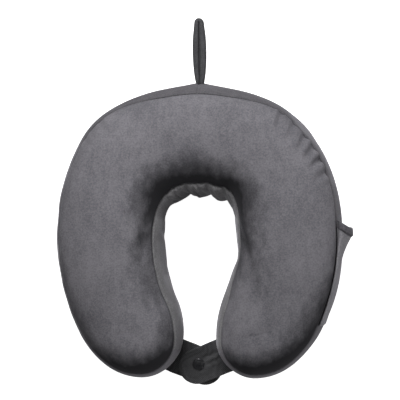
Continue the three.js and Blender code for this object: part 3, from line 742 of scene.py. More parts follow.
def build_panel(name, panel, node, material):
    faces = COVER.faces(lambda j, k: belongs(panel, j, k))
    used = sorted({n for f in faces for n in f})
    renumber = {n: i for i, n in enumerate(used)}
    obj = make_object(name, COVER_POINTS[used], [[renumber[n] for n in f] for f in faces])
    subdivide(obj, 1).boundary_smooth = "PRESERVE_CORNERS"
    if panel == "top":
        pucker_shoulders(obj)
    thicken(obj, COVER_CLOTH)
    finish_piece(obj, "pillow", node, material)


# ---------- materials ----------


class Nodes:
    """Short calls for building a material's node tree."""

    def __init__(self, name):
        self.material = bpy.data.materials.new(name)
        self.material.use_nodes = True
        self.tree = self.material.node_tree
        self.shader = self.tree.nodes["Principled BSDF"]
        self.output = self.tree.nodes["Material Output"]
        self.coords = self.tree.nodes.new("ShaderNodeTexCoord").outputs["Object"]

    def add(self, kind, inputs=None, **settings):
        node = self.tree.nodes.new(kind)
        for key, value in settings.items():
            setattr(node, key, value)
        for key, value in (inputs or {}).items():
            if isinstance(value, bpy.types.NodeSocket):
                self.tree.links.new(value, node.inputs[key])
            else:
                node.inputs[key].default_value = value
        return node

    def link(self, socket, target):
        self.tree.links.new(socket, self.shader.inputs[target])

    def stretched(self, scale, rotation=(0, 0, 0)):
        inputs = {"Vector": self.coords, "Scale": scale, "Rotation": rotation}
        return self.add("ShaderNodeMapping", inputs).outputs["Vector"]

    def noise(self, scale, detail=3.0, roughness=0.55, vector=None, distortion=0.0):
        inputs = {
            "Vector": vector or self.coords,
            "Scale": scale,
            "Detail": detail,
            "Roughness": roughness,
            "Distortion": distortion,
        }
        return self.add("ShaderNodeTexNoise", inputs).outputs["Fac"]

    def math(self, operation, a, b=0.0, c=0.0):
        return self.add("ShaderNodeMath", {0: a, 1: b, 2: c}, operation=operation).outputs[0]

    def remap(self, value, low, high, to_low, to_high):
        inputs = {"Value": value, "From Min": low, "From Max": high, "To Min": to_low, "To Max": to_high}
        return self.add("ShaderNodeMapRange", inputs).outputs["Result"]

    def mix(self, factor, a, b):
        """A blend of two colours: 6 and 7 are the node's colour inputs, and 2 its colour output."""
        return self.add("ShaderNodeMix", {0: factor, 6: a, 7: b}, data_type="RGBA").outputs[2]

    def bump(self, height, distance, strength=1.0, normal=None):
        inputs = {"Height": height, "Distance": distance * MM, "Strength": strength}
        if normal is not None:
            inputs["Normal"] = normal
        return self.add("ShaderNodeBump", inputs).outputs["Normal"]

    def set(self, **values):
        for key, value in values.items():
            self.shader.inputs[key.replace("_", " ")].default_value = value


def colour(red, green, blue):
    """A linear colour from sRGB values out of 255."""
    values = [v / 255 for v in (red, green, blue)]
    linear = [v / 12.92 if v <= 0.04045 else ((v + 0.055) / 1.055) ** 2.4 for v in values]
    return (*linear, 1.0)


def two_tone(n, factor, dark, light, height, bump_mm, strength, **values):
    """Finishes a material that runs between two colours and has one bump."""
    n.link(n.mix(factor, dark, light), "Base Color")
    n.link(n.bump(height, bump_mm, strength), "Normal")
    n.set(**values)
    return n.material


def scaled(base, factor, lift=0.0):
    """A colour made darker or lighter, then lifted by the same amount in red, green and blue."""
    return (*(min(1.0, factor * c + lift) for c in base[:3]), 1.0)


# Painted shade: slopes that face away from this direction, which is close to the key light's, are painted
# dark, standing in for the pile's shading; slopes that face it stay light.
SHADE_LEAN_BACK, SHADE_LEAN_UP = 0.6, 0.7
SHADE_LEAN_SIDE_TIPS, SHADE_LEAN_SIDE_NECK = 0.12, 0.40  # how far it also leans out to each arm's outer side
SHADE_LEAN_SWEEP = -0.17  # and to the left at both tips


def velour_material(name, dark, light, sheen=0.5, rim=0.35, nap_shade=0.0, tip_sheen=0.0):
    """Brushed pile: broad patches where the nap lies differently, short strokes and fine grain.
    The last three numbers: how much paler painted sheen makes it edge on, how much painted shade darkens
    slopes facing away from a set direction near the key light's, and how much paler painted sheen makes
    it round the tips. Creases and seams get painted shade from ambient occlusion."""
    n = Nodes(name)
    patches = n.noise(13.0, 4.0, 0.55, distortion=0.8)
    mottle = n.noise(120.0, 3.0, 0.6, n.stretched((1.0, 0.6, 1.0), (0, 0, math.radians(35))))
    grain = n.noise(640.0, 2.0, 0.7)
    tone = n.math("MULTIPLY_ADD", patches, 0.28, n.math("MULTIPLY", mottle, 0.22))
    tone = n.math("MULTIPLY_ADD", grain, 0.50, tone)
    pile = n.mix(n.remap(tone, 0.40, 0.60, 0.0, 1.0), dark, light)
    normal = n.add("ShaderNodeNewGeometry").outputs["Normal"]
    place = n.add("ShaderNodeSeparateXYZ", {"Vector": n.coords}).outputs
    outward = n.remap(place["X"], -0.06, 0.06, -1.0, 1.0)
    strength = n.remap(place["Y"], -0.11, -0.05, SHADE_LEAN_SIDE_TIPS, SHADE_LEAN_SIDE_NECK)
    sweep = n.remap(place["Y"], -0.20, -0.12, SHADE_LEAN_SWEEP, 0.0)
    side = n.math("MULTIPLY_ADD", outward, strength, sweep)
    lean = n.add("ShaderNodeCombineXYZ", {"X": side, "Y": SHADE_LEAN_BACK, "Z": SHADE_LEAN_UP}).outputs["Vector"]
    product = n.add("ShaderNodeVectorMath", {0: normal, 1: lean}, operation="DOT_PRODUCT")
    facing_shade_lean = product.outputs["Value"]
    # The pale colour that the painted sheen mixes in, both edge on and round the tips.
    painted_sheen_colour = scaled(light, 2.0)
    # Painted sheen: the cloth is made paler towards the tips.
    pile = n.mix(n.remap(place["Y"], -0.15, -0.21, 0.0, tip_sheen), pile, painted_sheen_colour)
    uneven = n.math("MULTIPLY_ADD", n.math("ADD", patches, mottle), 0.3, -0.3)
    # Painted shade: slopes facing away from the set direction near the key light's are mixed towards near
    # black.
    painted_shade_amount = n.remap(n.math("ADD", facing_shade_lean, uneven), 0.12, 0.58, nap_shade, 0.0)
    pile = n.mix(painted_shade_amount, pile, scaled(dark, 0.18))
    # Painted shade in creases and seams, from an ambient occlusion mask.
    crease_shade_ao = n.add("ShaderNodeAmbientOcclusion", {"Distance": 0.005}, samples=6).outputs["AO"]
    pile = n.mix(n.remap(crease_shade_ao, 0.35, 0.85, 0.75, 0.0), pile, scaled(dark, 0.12))
    # Painted sheen: the colour is lifted towards a pale grey where the surface is seen edge on.
    facing = n.add("ShaderNodeLayerWeight", {"Blend": 0.35}).outputs["Facing"]
    edge_on_sheen = n.remap(n.math("POWER", facing, 2.5), 0.0, 1.0, 0.0, rim)
    n.link(n.mix(edge_on_sheen, pile, painted_sheen_colour), "Base Color")
    n.link(n.remap(patches, 0.3, 0.7, 0.78, 0.95), "Roughness")
    n.set(Sheen_Weight=sheen, Sheen_Roughness=0.35, Sheen_Tint=colour(214, 212, 220))
    n.shader.inputs["Specular IOR Level"].default_value = 0.1
    soft = n.bump(n.noise(95.0, 3.0, 0.55), 0.7, 0.3)
    fine = n.bump(n.noise(1100.0, 3.0, 0.7), 0.3, 0.6, soft)
    n.link(fine, "Normal")
    return n.material


def woven_material(name, base, thread_mm, contrast=0.35):
    """Plain weave from two crossed waves."""
    n = Nodes(name)
    rate = math.tau / (4 * thread_mm * MM)
    split = n.add("ShaderNodeSeparateXYZ", {"Vector": n.coords}).outputs
    warp, weft, third = (n.math("SINE", n.math("MULTIPLY", split[axis], rate)) for axis in "XYZ")
    weave = n.math("ADD", n.math("MULTIPLY", warp, weft), n.math("MULTIPLY", third, 0.5))
    fuzz = n.noise(700.0, 3.0, 0.7)
    tone = n.math("MULTIPLY_ADD", weave, 0.25, fuzz)
    shade = n.remap(tone, 0.2, 0.8, 0.0, 1.0)
    dark, light = scaled(base, 1 - contrast), scaled(base, 1 + 2 * contrast, 0.004)
    return two_tone(n, shade, dark, light, tone, 0.15, 0.6, Roughness=0.8, Sheen_Weight=0.15)


def metal_material(name, base, roughness, metallic=1.0, wear=0.15):
    n = Nodes(name)
    scuff = n.noise(260.0, 5.0, 0.65)
    worn = n.remap(scuff, 0.55, 0.8, 0.0, 1.0)
    n.link(n.remap(scuff, 0.3, 0.7, roughness - 0.05, roughness + 0.14), "Roughness")
    scratches = n.noise(1900.0, 2.0)
    return two_tone(n, worn, base, scaled(base, 1.0, wear), scratches, 0.02, 0.3, Metallic=metallic)


def foam_material():
    n = Nodes("slow_foam")
    cells = n.add("ShaderNodeTexVoronoi", {"Vector": n.coords, "Scale": 900.0}).outputs["Distance"]
    tone = n.math("MULTIPLY_ADD", cells, 0.5, n.noise(40.0, 4.0))
    dark, light = colour(222, 206, 168), colour(240, 230, 205)
    return two_tone(n, n.remap(tone, 0.3, 0.9, 0, 1), dark, light, cells, 0.3, 0.5, Roughness=0.9)


def elastic_material():
    n = Nodes("ribbed_elastic")
    height = n.add("ShaderNodeSeparateXYZ", {"Vector": n.coords}).outputs["Z"]
    ribs = n.math("SINE", n.math("MULTIPLY", height, 5200.0))
    dark, light = colour(196, 196, 192), colour(236, 236, 232)
    return two_tone(n, n.remap(ribs, -1, 1, 0, 1), dark, light, ribs, 0.25, 0.7, Roughness=0.8)


def nylon_material():
    n = Nodes("zip_nylon")
    tone, grain = n.noise(500.0, 3.0), n.noise(2500.0, 2.0)
    dark, light = colour(24, 24, 26), colour(52, 52, 56)
    return two_tone(n, tone, dark, light, grain, 0.03, 0.4, Roughness=0.38)


VELOUR_TOP = velour_material("velour_top", colour(100, 99, 104), colour(128, 126, 131), 0.25, 0.1, 1.0)
# Copies of one velour with painted light and shade: the bands and bottom are painted darker, and the
# pocket and inner band lighter, for how the light falls on each.
VELOUR_PAINTED_DARKER = velour_material("velour", colour(82, 81, 85), colour(106, 104, 108), rim=0.2, tip_sheen=0.55)
VELOUR_POCKET_PAINTED_LIGHTER = velour_material("velour_pocket_painted_lighter", colour(126, 125, 129), colour(157, 155, 160))
VELOUR_INNER_PAINTED_LIGHTER = velour_material("velour_inner_band_painted_lighter", colour(112, 111, 113), colour(139, 138, 140), rim=0.5)
VELOUR_LOOP = velour_material("velour_loop", colour(56, 56, 58), colour(80, 80, 82), 0.2, 0.2)
VELOUR_HEM = velour_material("velour_hem", colour(80, 79, 83), colour(102, 100, 105), rim=0.2)
BLACK_CLOTH = woven_material("black_cloth", colour(51, 51, 53), 0.5)
ZIP_CLOTH = woven_material("zip_tape_cloth", colour(34, 34, 37), 0.6)
LINER_CLOTH = woven_material("liner_cloth", colour(214, 214, 210), 0.7, contrast=0.12)
THREAD = woven_material("thread", colour(70, 68, 73), 0.25, contrast=0.2)
NYLON = nylon_material()
BLACK_THREAD = woven_material("black_thread", colour(38, 38, 40), 0.25, contrast=0.2)
ZIP_METAL = metal_material("zip_metal", colour(46, 46, 49), 0.32, 0.85)
SNAP_METAL = metal_material("snap_metal", colour(44, 44, 47), 0.3, 0.5)
SNAP_STEEL = metal_material("snap_steel", colour(170, 171, 174), 0.28, 1.0, 0.08)


# ---------- what is inside the cover ----------


def layer_object(name, depth, rays, ring_shares, closed, wanted=lambda j, k: True):
    """A sheet at a depth under the cover, over shares of each section's length."""
    columns = len(ring_shares)
    points = []
    for ray in rays:
        length = ray.profile(depth)[2][-1]
        line = ray.place_points(ring_shares * length, depth)
        at_neck = (ray.zone == "inner") * (1 - smooth(0.95, 1.3, ray.place))
        tuck = NECK_TUCK * at_neck * bump(ring_shares, 0.42, 0.2)
        points.extend(line - tuck[:, None] * [*ray.heading, 0])
    cells = enumerate(grid_faces(len(rays), columns, close_rows=closed))
    faces = [face for i, face in cells if wanted(*divmod(i, columns - 1))]
    return make_object(name, points, faces)


CORE_SHARES = np.linspace(0, 1, 34)
CORE_RAYS = RAYS[::2]
LINER_WINDOW = (0.60, 0.74)
WELD = 0.02


def build_inside():
    core = layer_object("foam_core_shape", 4.6, CORE_RAYS, CORE_SHARES, True)
    face_outwards(core, WELD)
    subdivide(core, 1)
    finish_piece(core, "pillow", "foam_core", foam_material())

    def is_cloth(j, k):
        ray, following = CORE_RAYS[j], CORE_RAYS[(j + 1) % len(CORE_RAYS)]
        back = ray.zone == following.zone == "outer" and max(ray.place, following.place) <= 1
        return not (back and LINER_WINDOW[0] <= CORE_SHARES[k] <= LINER_WINDOW[1])

    liner = layer_object("liner_bag", 3.4, CORE_RAYS, CORE_SHARES, True, is_cloth)
    face_outwards(liner, WELD)
    thicken(liner, 0.5)
    subdivide(liner, 1)
    finish_piece(liner, "pillow", "foam_liner", LINER_CLOTH)

    neck = [ray for ray in RAYS if ray.zone == "inner" and ray.place <= 1.05]
    elastic = layer_object("neck_elastic_strip", 2.4, neck, np.linspace(0.40, 0.47, 5), False)
    thicken(elastic, 0.7)
    subdivide(elastic, 1)
    finish_piece(elastic, "pillow", "neck_elastic", elastic_material())


# ---------- shared tools for the sewn pieces ----------


def sheet_solid(name, outside, inside):
    """A closed sheet between two equal grids of points, with its edges joined."""
    rows, columns = outside.shape[:2]
    count = rows * columns
    points = np.concatenate([outside.reshape(-1, 3), inside.reshape(-1, 3)])
    faces = grid_faces(rows, columns)
    faces += [tuple(count + n for n in f[::-1]) for f in faces]
    number = np.arange(count).reshape(rows, columns)
    border = [*number[0], *number[1:, -1], *number[-1, -2::-1], *number[-2:0:-1, 0]]
    for a, b in zip(border, border[1:] + border[:1]):
        faces.append((b, a, count + a, count + b))
    return face_outwards(make_object(name, points, faces))


def tube_faces(rings, sides, base=0):
    """The faces of a closed tube whose points are numbered ring by ring from base."""
    count = rings * sides
    faces = grid_faces(rings, sides, close_columns=True)
    faces += [range(sides), range(count - 1, count - sides - 1, -1)]
    return [tuple(base + n for n in face) for face in faces]


STITCH_RINGS, STITCH_SIDES = 6, 6
STITCH_SINK = 0.1


def stitches(name, line, normals, length, gap, thickness):
    """Sewn stitches along a line: short rounded bars that dip into the cloth at their ends."""
    run = walk(line)

    def along(distance, values=line):
        return np.array([np.interp(distance, run, values[:, i]) for i in range(3)])

    points, faces = [], []
    for start in np.arange(gap, run[-1] - length, length + gap):
        faces += tube_faces(STITCH_RINGS, STITCH_SIDES, len(points))
        for share in np.linspace(0, 1, STITCH_RINGS):
            at = start + share * length
            up = normalised(along(at, normals))
            side = np.cross(normalised(along(at + 0.2) - along(at - 0.2)), up)
            arch = math.sin(math.pi * share)
            middle = along(at) + up * (thickness * (0.35 * arch - 0.25) - STITCH_SINK)
            radius = 0.5 * thickness * (0.55 + 0.45 * arch)
            for angle in np.linspace(0, math.tau, STITCH_SIDES, endpoint=False):
                points.append(middle + radius * (math.cos(angle) * side + math.sin(angle) * up))
    return face_outwards(make_object(name, points, faces))


# ---------- phone pocket on the right arm ----------

POCKET_MOUTH, POCKET_SNUG, POCKET_END = 1.97, 2.24, 2.8  # places on the spine
POCKET_GAPE = 9.0
POCKET_CLEARANCE = 0.9
POCKET_RETREAT = 7.0  # how far the gaping middle of the mouth is pulled back towards the closed end
POCKET_BOTTOM_Z = 24.0
POCKET_SEAM_GAP = 0.5
POCKET_EDGE_SINK = 1.2  # how far its long edges are sewn down into the panel
POCKET_CLOTH = 1.3
HEM_CLOTH = 2.4


def pocket_grid(places, cloth):
    """The pocket's outside and inside points for places along the arm."""
    across = np.linspace(0, 1, 21)
    middle = np.sin(math.pi * across) ** 0.45
    outside, inside = [], []
    arm = STRETCH_LENGTHS[2]
    for place in places:
        opening = np.clip((POCKET_SNUG - place) / (POCKET_SNUG - POCKET_MOUTH), 0, 1) ** 1.6
        retreat = POCKET_RETREAT * opening / arm
        rows = []
        for depth in (cloth, 0.0):
            row = []
            for share, lift_share in zip(across, middle):
                back = retreat * math.sin(math.pi * min(share, 0.5)) ** 0.8
                ray = spine_ray("outer", place + back)
                top = ray.landmarks()[0] + POCKET_SEAM_GAP
                low = ray.distance_down_to(POCKET_BOTTOM_Z)
                lift = POCKET_CLEARANCE + POCKET_GAPE * lift_share * opening + depth
                ripple = 0.5 * math.sin(9 * share + 14 * place) * (1 - opening) * lift_share
                sunk = POCKET_EDGE_SINK * (np.exp(-share * 26) + np.exp(-(1 - share) * 26))
                distance = top + share * (low - top)
                row.append(ray.place_points([distance], -(lift + ripple - sunk))[0])
            rows.append(row)
        outside.append(rows[0])
        inside.append(rows[1])
    return np.array(outside), np.array(inside)


def build_pocket():
    arm = STRETCH_LENGTHS[2]
    places = np.concatenate([
        POCKET_MOUTH + np.linspace(0, 30, 18) / arm,
        np.linspace(POCKET_SNUG + 0.05, POCKET_END - 0.03, 12),
        [POCKET_END - 0.01, POCKET_END],
    ])
    outside, inside = pocket_grid(places, POCKET_CLOTH)
    outside[-1] = inside[-1] + 0.35 * (outside[-1] - inside[-1])
    panel = sheet_solid("pocket_cloth", outside, inside)
    subdivide(panel, 1)
    finish_piece(panel, "pillow", "pocket_panel", VELOUR_POCKET_PAINTED_LIGHTER)

    hem_places = POCKET_MOUTH + np.array([1.6, 1.0, 0.0, -1.5, -3.0, -4.4, -5.6, -6.0]) / arm
    outside, inside = pocket_grid(hem_places, HEM_CLOTH)
    fold = np.array([0.25, 0.7, 1.0, 1.05, 1.05, 1.0, 0.75, 0.4])[:, None, None]
    middle = (outside + inside) / 2
    outside = middle + (outside - middle) * fold
    inside = middle + (inside - middle) * fold
    hem = sheet_solid("pocket_hem_fold", outside, inside)
    subdivide(hem, 2)
    finish_piece(hem, "pillow", "pocket_hem", VELOUR_HEM)

    seam_place = POCKET_MOUTH + 0.2 / arm
    line, under = pocket_grid([seam_place], HEM_CLOTH)
    normal = normalised(line[0] - under[0])
    row = stitches("pocket_hem_stitches", line[0][1:-1], normal[1:-1], 2.4, 0.9, 0.45)
    finish_piece(row, "pillow", None, THREAD)


# ---------- hanging loop ----------

LOOP_START, LOOP_END = 52.0, 123.0
LOOP_HEIGHT = 16.0
LOOP_SLIT = -0.25  # half the gap between the two layers, which press together
LOOP_HALF_WIDTHS = np.array([  # distance from the root, half width of the folded tape
    (0.0, 2.6), (5.0, 3.8), (10.0, 5.1), (20.0, 6.3),
    (34.0, 7.0), (48.0, 6.8), (58.0, 5.9), (65.6, 4.6),
])
LOOP_LEAN = (0.6, -0.4)  # X of its middle line at the root and at the far end


def swept(name, centres, across, up, half_across, half_up, power=2.6, sides=20):
    """A closed bar along a line, with a rounded section given by two half sizes at each centre."""
    angles = np.linspace(0, math.tau, sides, endpoint=False)
    c, s = np.cos(angles), np.sin(angles)
    round_c = np.sign(c) * np.abs(c) ** (2 / power)
    round_s = np.sign(s) * np.abs(s) ** (2 / power)
    rings = (
        centres[:, None]
        + across[:, None] * (half_across[:, None] * round_c)[..., None]
        + up[:, None] * (half_up[:, None] * round_s)[..., None]
    )
    return face_outwards(make_object(name, rings.reshape(-1, 3), tube_faces(len(centres), sides)))


def build_loop():
    straight = np.linspace(0, LOOP_HALF_WIDTHS[-1, 0], 40)
    half = np.interp(straight, *LOOP_HALF_WIDTHS.T)
    half = np.convolve(np.pad(half, 4, "edge"), np.ones(9) / 9, "valid")
    side_x, side_y = (half + LOOP_SLIT) / 2, LOOP_START + straight
    radius = side_x[-1]
    turn = np.radians(np.linspace(0, 180, 15)[1:-1])
    layer = half - LOOP_SLIT
    x = np.concatenate([-side_x, -radius * np.cos(turn), side_x[::-1]])
    y = np.concatenate([side_y, side_y[-1] + radius * np.sin(turn), side_y[::-1]])
    thick = np.concatenate([layer, np.full(len(turn), layer[-1]), layer[::-1]])
    run = (y - LOOP_START) / (LOOP_END - LOOP_START)
    lean = LOOP_LEAN[0] + (LOOP_LEAN[1] - LOOP_LEAN[0]) * run
    centres = np.column_stack([x + lean, y, np.full(len(x), WIDEST_Z)])
    tangent = normalised(np.gradient(centres, axis=0))
    up = np.tile([0.0, 0.0, 1.0], (len(x), 1))
    across = np.cross(tangent, up)
    tall = LOOP_HEIGHT / 2 + 0.25 * np.sin(y * 0.35 + 0.8 * np.sign(x))
    loop = swept("hanging_loop_tape", centres, across, up, 0.49 * thick, tall, 3.2, 28)
    subdivide(loop, 1)
    dress(loop, "hanging_loop", VELOUR_LOOP)
    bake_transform(loop)


# ---------- closure tabs and the snap ----------

TAB_HALF_WIDTH = 18.2
TAB_CLOTH = 2.4
TAB_ROOT_Z = 15.0
TAB_STEP = 3.75
SNAP_AT = np.array([-2.6, -226.7])
TAB_INSIDE = 7.0  # how far the tab runs into the seam
TAB_RIM = 1.4  # how far the edge of the round end stands up
TAB_STITCH_INSET, TAB_STITCH_START = 2.6, 7.0
TAB_SEAM_Z = 14.0


class Tab:
    """A closure tab in its own axes: x from its root to the snap, y across, z up."""

    def __init__(self, root, angle, beyond, rise, off_middle):
        self.root = np.array([*root, TAB_ROOT_Z])
        self.angle = math.radians(angle)
        self.snap_x = float(np.linalg.norm(SNAP_AT - root))
        self.end = self.snap_x + beyond
        self.rise = rise
        self.off_middle = off_middle  # from the snap across to the tab's own middle line

    def to_world(self, points):
        c, s = math.cos(self.angle), math.sin(self.angle)
        turn = np.array([[c, -s, 0], [s, c, 0], [0, 0, 1]])
        return np.asarray(points) @ turn.T + self.root

    def edge(self, x):
        """Half width at x: straight sides, then a round end."""
        past = np.clip((x - (self.end - TAB_HALF_WIDTH)) / TAB_HALF_WIDTH, 0, 1)
        return TAB_HALF_WIDTH * np.sqrt(np.maximum(0, 1 - past**2))

    def height(self, x, y):
        """Its middle surface: an S bend to the snap, with folds that run out from the snap."""
        bend = self.rise * smooth(2, self.snap_x - 7, x)
        bend = np.where(x < 0, (TAB_SEAM_Z - TAB_ROOT_Z) * smooth(0, -4, x), bend)
        near_snap = np.exp(-(((x - self.snap_x) ** 2 + y**2) / 7.5**2) ** 2)
        return bend + self.folds(x, y) * (1 - near_snap) * smooth(-1, 6, x)

    def folds(self, x, y):
        along = smooth(1, 9, x) * (1 - smooth(self.snap_x - 7, self.snap_x - 2, x))
        if self.rise > 0:
            ridge = 2.2 * bump(y, 1.0 - 0.10 * (self.snap_x - x), 1.9)
            second = 1.2 * bump(y, 6.5 - 0.05 * x, 1.9)
            valley = -1.5 * bump(y, -4.0, 2.6)
            curl = 2.4 * smooth(3, 17, -y) * smooth(6, 20, x)
            droop = -1.3 * smooth(8, 17, y)
            return along * (ridge + second + valley) + curl + droop
        return along * 0.8 * bump(y, 2.0, 3.0) - 1.2 * smooth(6, 17, np.abs(y))


RIGHT_TAB = Tab((23.1200, -216.5686), 201.5, 20.7, TAB_STEP, 1.4)
LEFT_TAB = Tab((-23.8044, -217.6993), -23.0, 25.3, -TAB_STEP, -1.4)


def tab_surface(tab, side):
    """One side of a tab as a grid: rows along it, columns across it. The edge is rolled round."""
    body = np.linspace(-TAB_INSIDE, tab.end - TAB_HALF_WIDTH, 34)
    turn = np.radians(np.linspace(0, 86, 15)[1:])
    xs = np.concatenate([body, tab.end - TAB_HALF_WIDTH + TAB_HALF_WIDTH * np.sin(turn)])
    across = np.sin(np.linspace(-math.pi / 2, math.pi / 2, 33))
    rows = []
    for x in xs:
        half = tab.edge(x)
        y = across * half
        from_edge = half - np.abs(y)
        from_end = tab.end - x
        rim = np.minimum(from_edge, from_end)
        thick = TAB_CLOTH / 2 * (0.28 + 0.72 * np.sqrt(np.clip(rim / 1.2, 0, 1)))
        thick = thick * (0.45 if x < -1 else 1) if side else thick
        groove = 0.4 * np.exp(-(((rim - TAB_STITCH_INSET) / 0.45) ** 2)) * (x > 0)
        across_tab = y + tab.off_middle
        raised = TAB_RIM * smooth(6.5, 2.5, rim) * smooth(tab.snap_x - 14, tab.snap_x - 2, x)
        z = tab.height(np.full_like(y, x), across_tab) + raised + side * (thick - groove)
        rows.append(np.column_stack([np.full_like(y, x), across_tab, z]))
    return tab.to_world(np.array(rows).reshape(-1, 3)).reshape(len(xs), len(across), 3)


def tab_edge_line(tab):
    """The stitching's line round a tab, in plan and in the tab's own axes."""
    half = TAB_HALF_WIDTH - TAB_STITCH_INSET
    straight = np.linspace(TAB_STITCH_START, tab.end - TAB_HALF_WIDTH, 30)
    turn = np.radians(np.linspace(-90, 90, 32)[1:-1])
    round_end = tab.end - TAB_HALF_WIDTH + half * np.cos(turn)
    x = np.concatenate([straight, round_end, straight[::-1]])
    y = np.concatenate([np.full(30, -half), half * np.sin(turn), np.full(30, half)])
    return x, y + tab.off_middle


def build_tab(tab, side, body, node):
    sheet = sheet_solid(f"tab_{side}_cloth", tab_surface(tab, 1), tab_surface(tab, -1))
    subdivide(sheet, 1)
    dress(sheet, node, BLACK_CLOTH)
    root = tab.to_world([[-1.0, 0, 0], [2.2, 0, 0]]) * MM
    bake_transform(sheet)

    x, y = tab_edge_line(tab)
    raised = TAB_RIM * smooth(tab.snap_x - 14, tab.snap_x - 2, x)
    z = tab.height(x, y) + raised + TAB_CLOTH / 2 - 0.12
    line = tab.to_world(np.column_stack([x, y, z]))
    normals = np.tile([0.0, 0.0, 1.0], (len(line), 1))
    row = stitches(f"tab_{side}_stitches", line, normals, 2.1, 0.8, 0.42)
    finish_piece(row, body, None, BLACK_THREAD)


def lathe(name, profile, segments=64):
    """A closed turned body from (radius, z) pairs: from axis to axis, or closed on themselves."""
    turn = np.linspace(0, 360, segments, endpoint=False)
    rings = [np.column_stack([radius * unit(turn), np.full(segments, z)]) for radius, z in profile]
    faces = grid_faces(len(profile), segments, close_rows=profile[0, 0] > 0, close_columns=True)
    return face_outwards(make_object(name, np.concatenate(rings), faces), AXIS_WELD)


def rounded(profile, radius=0.25, steps=3):
    """A profile with its inner corners rounded."""
    profile = np.array(profile, float)
    line = [profile[0]]
    for before, corner, after in zip(profile, profile[1:], profile[2:]):
        back, ahead = before - corner, after - corner
        cut = min(radius, 0.45 * np.linalg.norm(back), 0.45 * np.linalg.norm(ahead))
        a, b = corner + cut * normalised(back), corner + cut * normalised(ahead)
        for t in np.linspace(0, 1, steps + 1):
            line.append((1 - t) ** 2 * a + 2 * t * (1 - t) * corner + t * t * b)
    line.append(profile[-1])
    return np.array(line)


CAP_PROFILE = [
    (0, 0.0), (5.5, 0.0), (6.2, 0.25), (6.2, 0.85), (5.5, 1.35),
    (4.3, 1.5), (3.6, 1.42), (2.4, 1.62), (0, 1.72),
]
SOCKET_PROFILE = [
    (1.5, 0), (1.5, -0.8), (2.4, -0.8), (2.15, -1.7), (2.5, -3.0), (3.1, -3.2), (3.4, -2.7),
    (4.1, -2.7), (4.5, -3.2), (4.9, -2.9), (5.2, -1.2), (5.2, 0),
]
STUD_PROFILE = [
    (0, 0.3), (0.6, 0.0), (3.9, 0.0), (4.0, 0.5), (2.6, 0.75), (1.5, 1.0),
    (1.45, 1.8), (1.9, 2.6), (1.85, 3.2), (1.3, 3.7), (0, 3.7),
]
CLOTH_HALF = 1.25
SNAP_PRESS = 0.25  # how deep a snap part is pressed into the cloth
AXIS_WELD = 1e-4  # joins the points of a turned body that lie on its axis


def build_snap():
    """The cap and socket on the right tab, and the stud and its own cap, turned over, on the left."""
    upper, lower = TAB_ROOT_Z + TAB_STEP, TAB_ROOT_Z - TAB_STEP
    press = CLOTH_HALF - SNAP_PRESS
    as_made, turned_over = np.array([1, 1, 1]), np.array([1, -1, -1])
    parts = [
        ("snap_cap_upper", CAP_PROFILE, upper + press, as_made, "right", "snap_cap_right"),
        ("snap_socket_ring", SOCKET_PROFILE, upper - press, as_made, "right", "snap_socket"),
        ("snap_stud_post", STUD_PROFILE, lower + press, as_made, "left", "snap_stud"),
        ("snap_cap_lower", CAP_PROFILE, lower - press, turned_over, "left", "snap_cap_left"),
    ]
    for name, profile, z, way, side, node in parts:
        part = lathe(name, rounded(profile))
        set_points(part, points_of(part.data) * way + [*SNAP_AT, z])
        cap = profile is CAP_PROFILE
        slot, material = ("snap_metal", SNAP_METAL) if cap else ("snap_steel", SNAP_STEEL)
        finish_piece(part, f"tab_{side}", node, material)


def build_closure():
    build_tab(RIGHT_TAB, "right", "tab_right", "closure_tab_right")
    build_tab(LEFT_TAB, "left", "tab_left", "closure_tab_left")
    build_snap()


# ---------- zip in the back seam ----------

ZIP_SLOPE = 19.6  # degrees from the horizontal down to the way the zip faces
ZIP_DROP = (WIDEST_Z - BOTTOM_SEAM_Z) / BOTTOM_DEPTH  # below the widest level, as a share
ZIP_RUN = SPINE_RADIUS + BACK_Y * (1 - ZIP_DROP**BOTTOM_POWER) ** (1 / BOTTOM_POWER)
COIL_END = 25.0
COIL_PITCH = 1.5
FILAMENT = 0.34
SLIDER_REST = -23.2  # degrees, by the left end
PULL_PIN_OUT = 2.6
NEVER_PARALLEL = 1e-3  # keeps a cross product from vanishing


def zip_points(angle, up, out):
    """Points on the zip's cone: the angle from the centre line, up the cone, and out of it."""
    angle, up, out = np.broadcast_arrays(np.asarray(angle, float), up, out)
    slope = math.radians(ZIP_SLOPE)
    run = ZIP_RUN + out * math.cos(slope) + up * math.sin(slope)
    z = BOTTOM_SEAM_Z - out * math.sin(slope) + up * math.cos(slope)
    turn = np.radians(angle)
    return np.stack([run * np.sin(turn), BACK_CENTRE[1] + run * np.cos(turn), z], axis=-1)


def zip_axes(angle):
    """The slider's axes at an angle: along the zip to the right, down the cone, and out."""
    turn = math.radians(angle)
    along = np.array([math.cos(turn), -math.sin(turn), 0.0])
    down = zip_points(angle, -1.0, 0.0) - zip_points(angle, 0.0, 0.0)
    out = zip_points(angle, 0.0, 1.0) - zip_points(angle, 0.0, 0.0)
    return np.array([along, down, out])


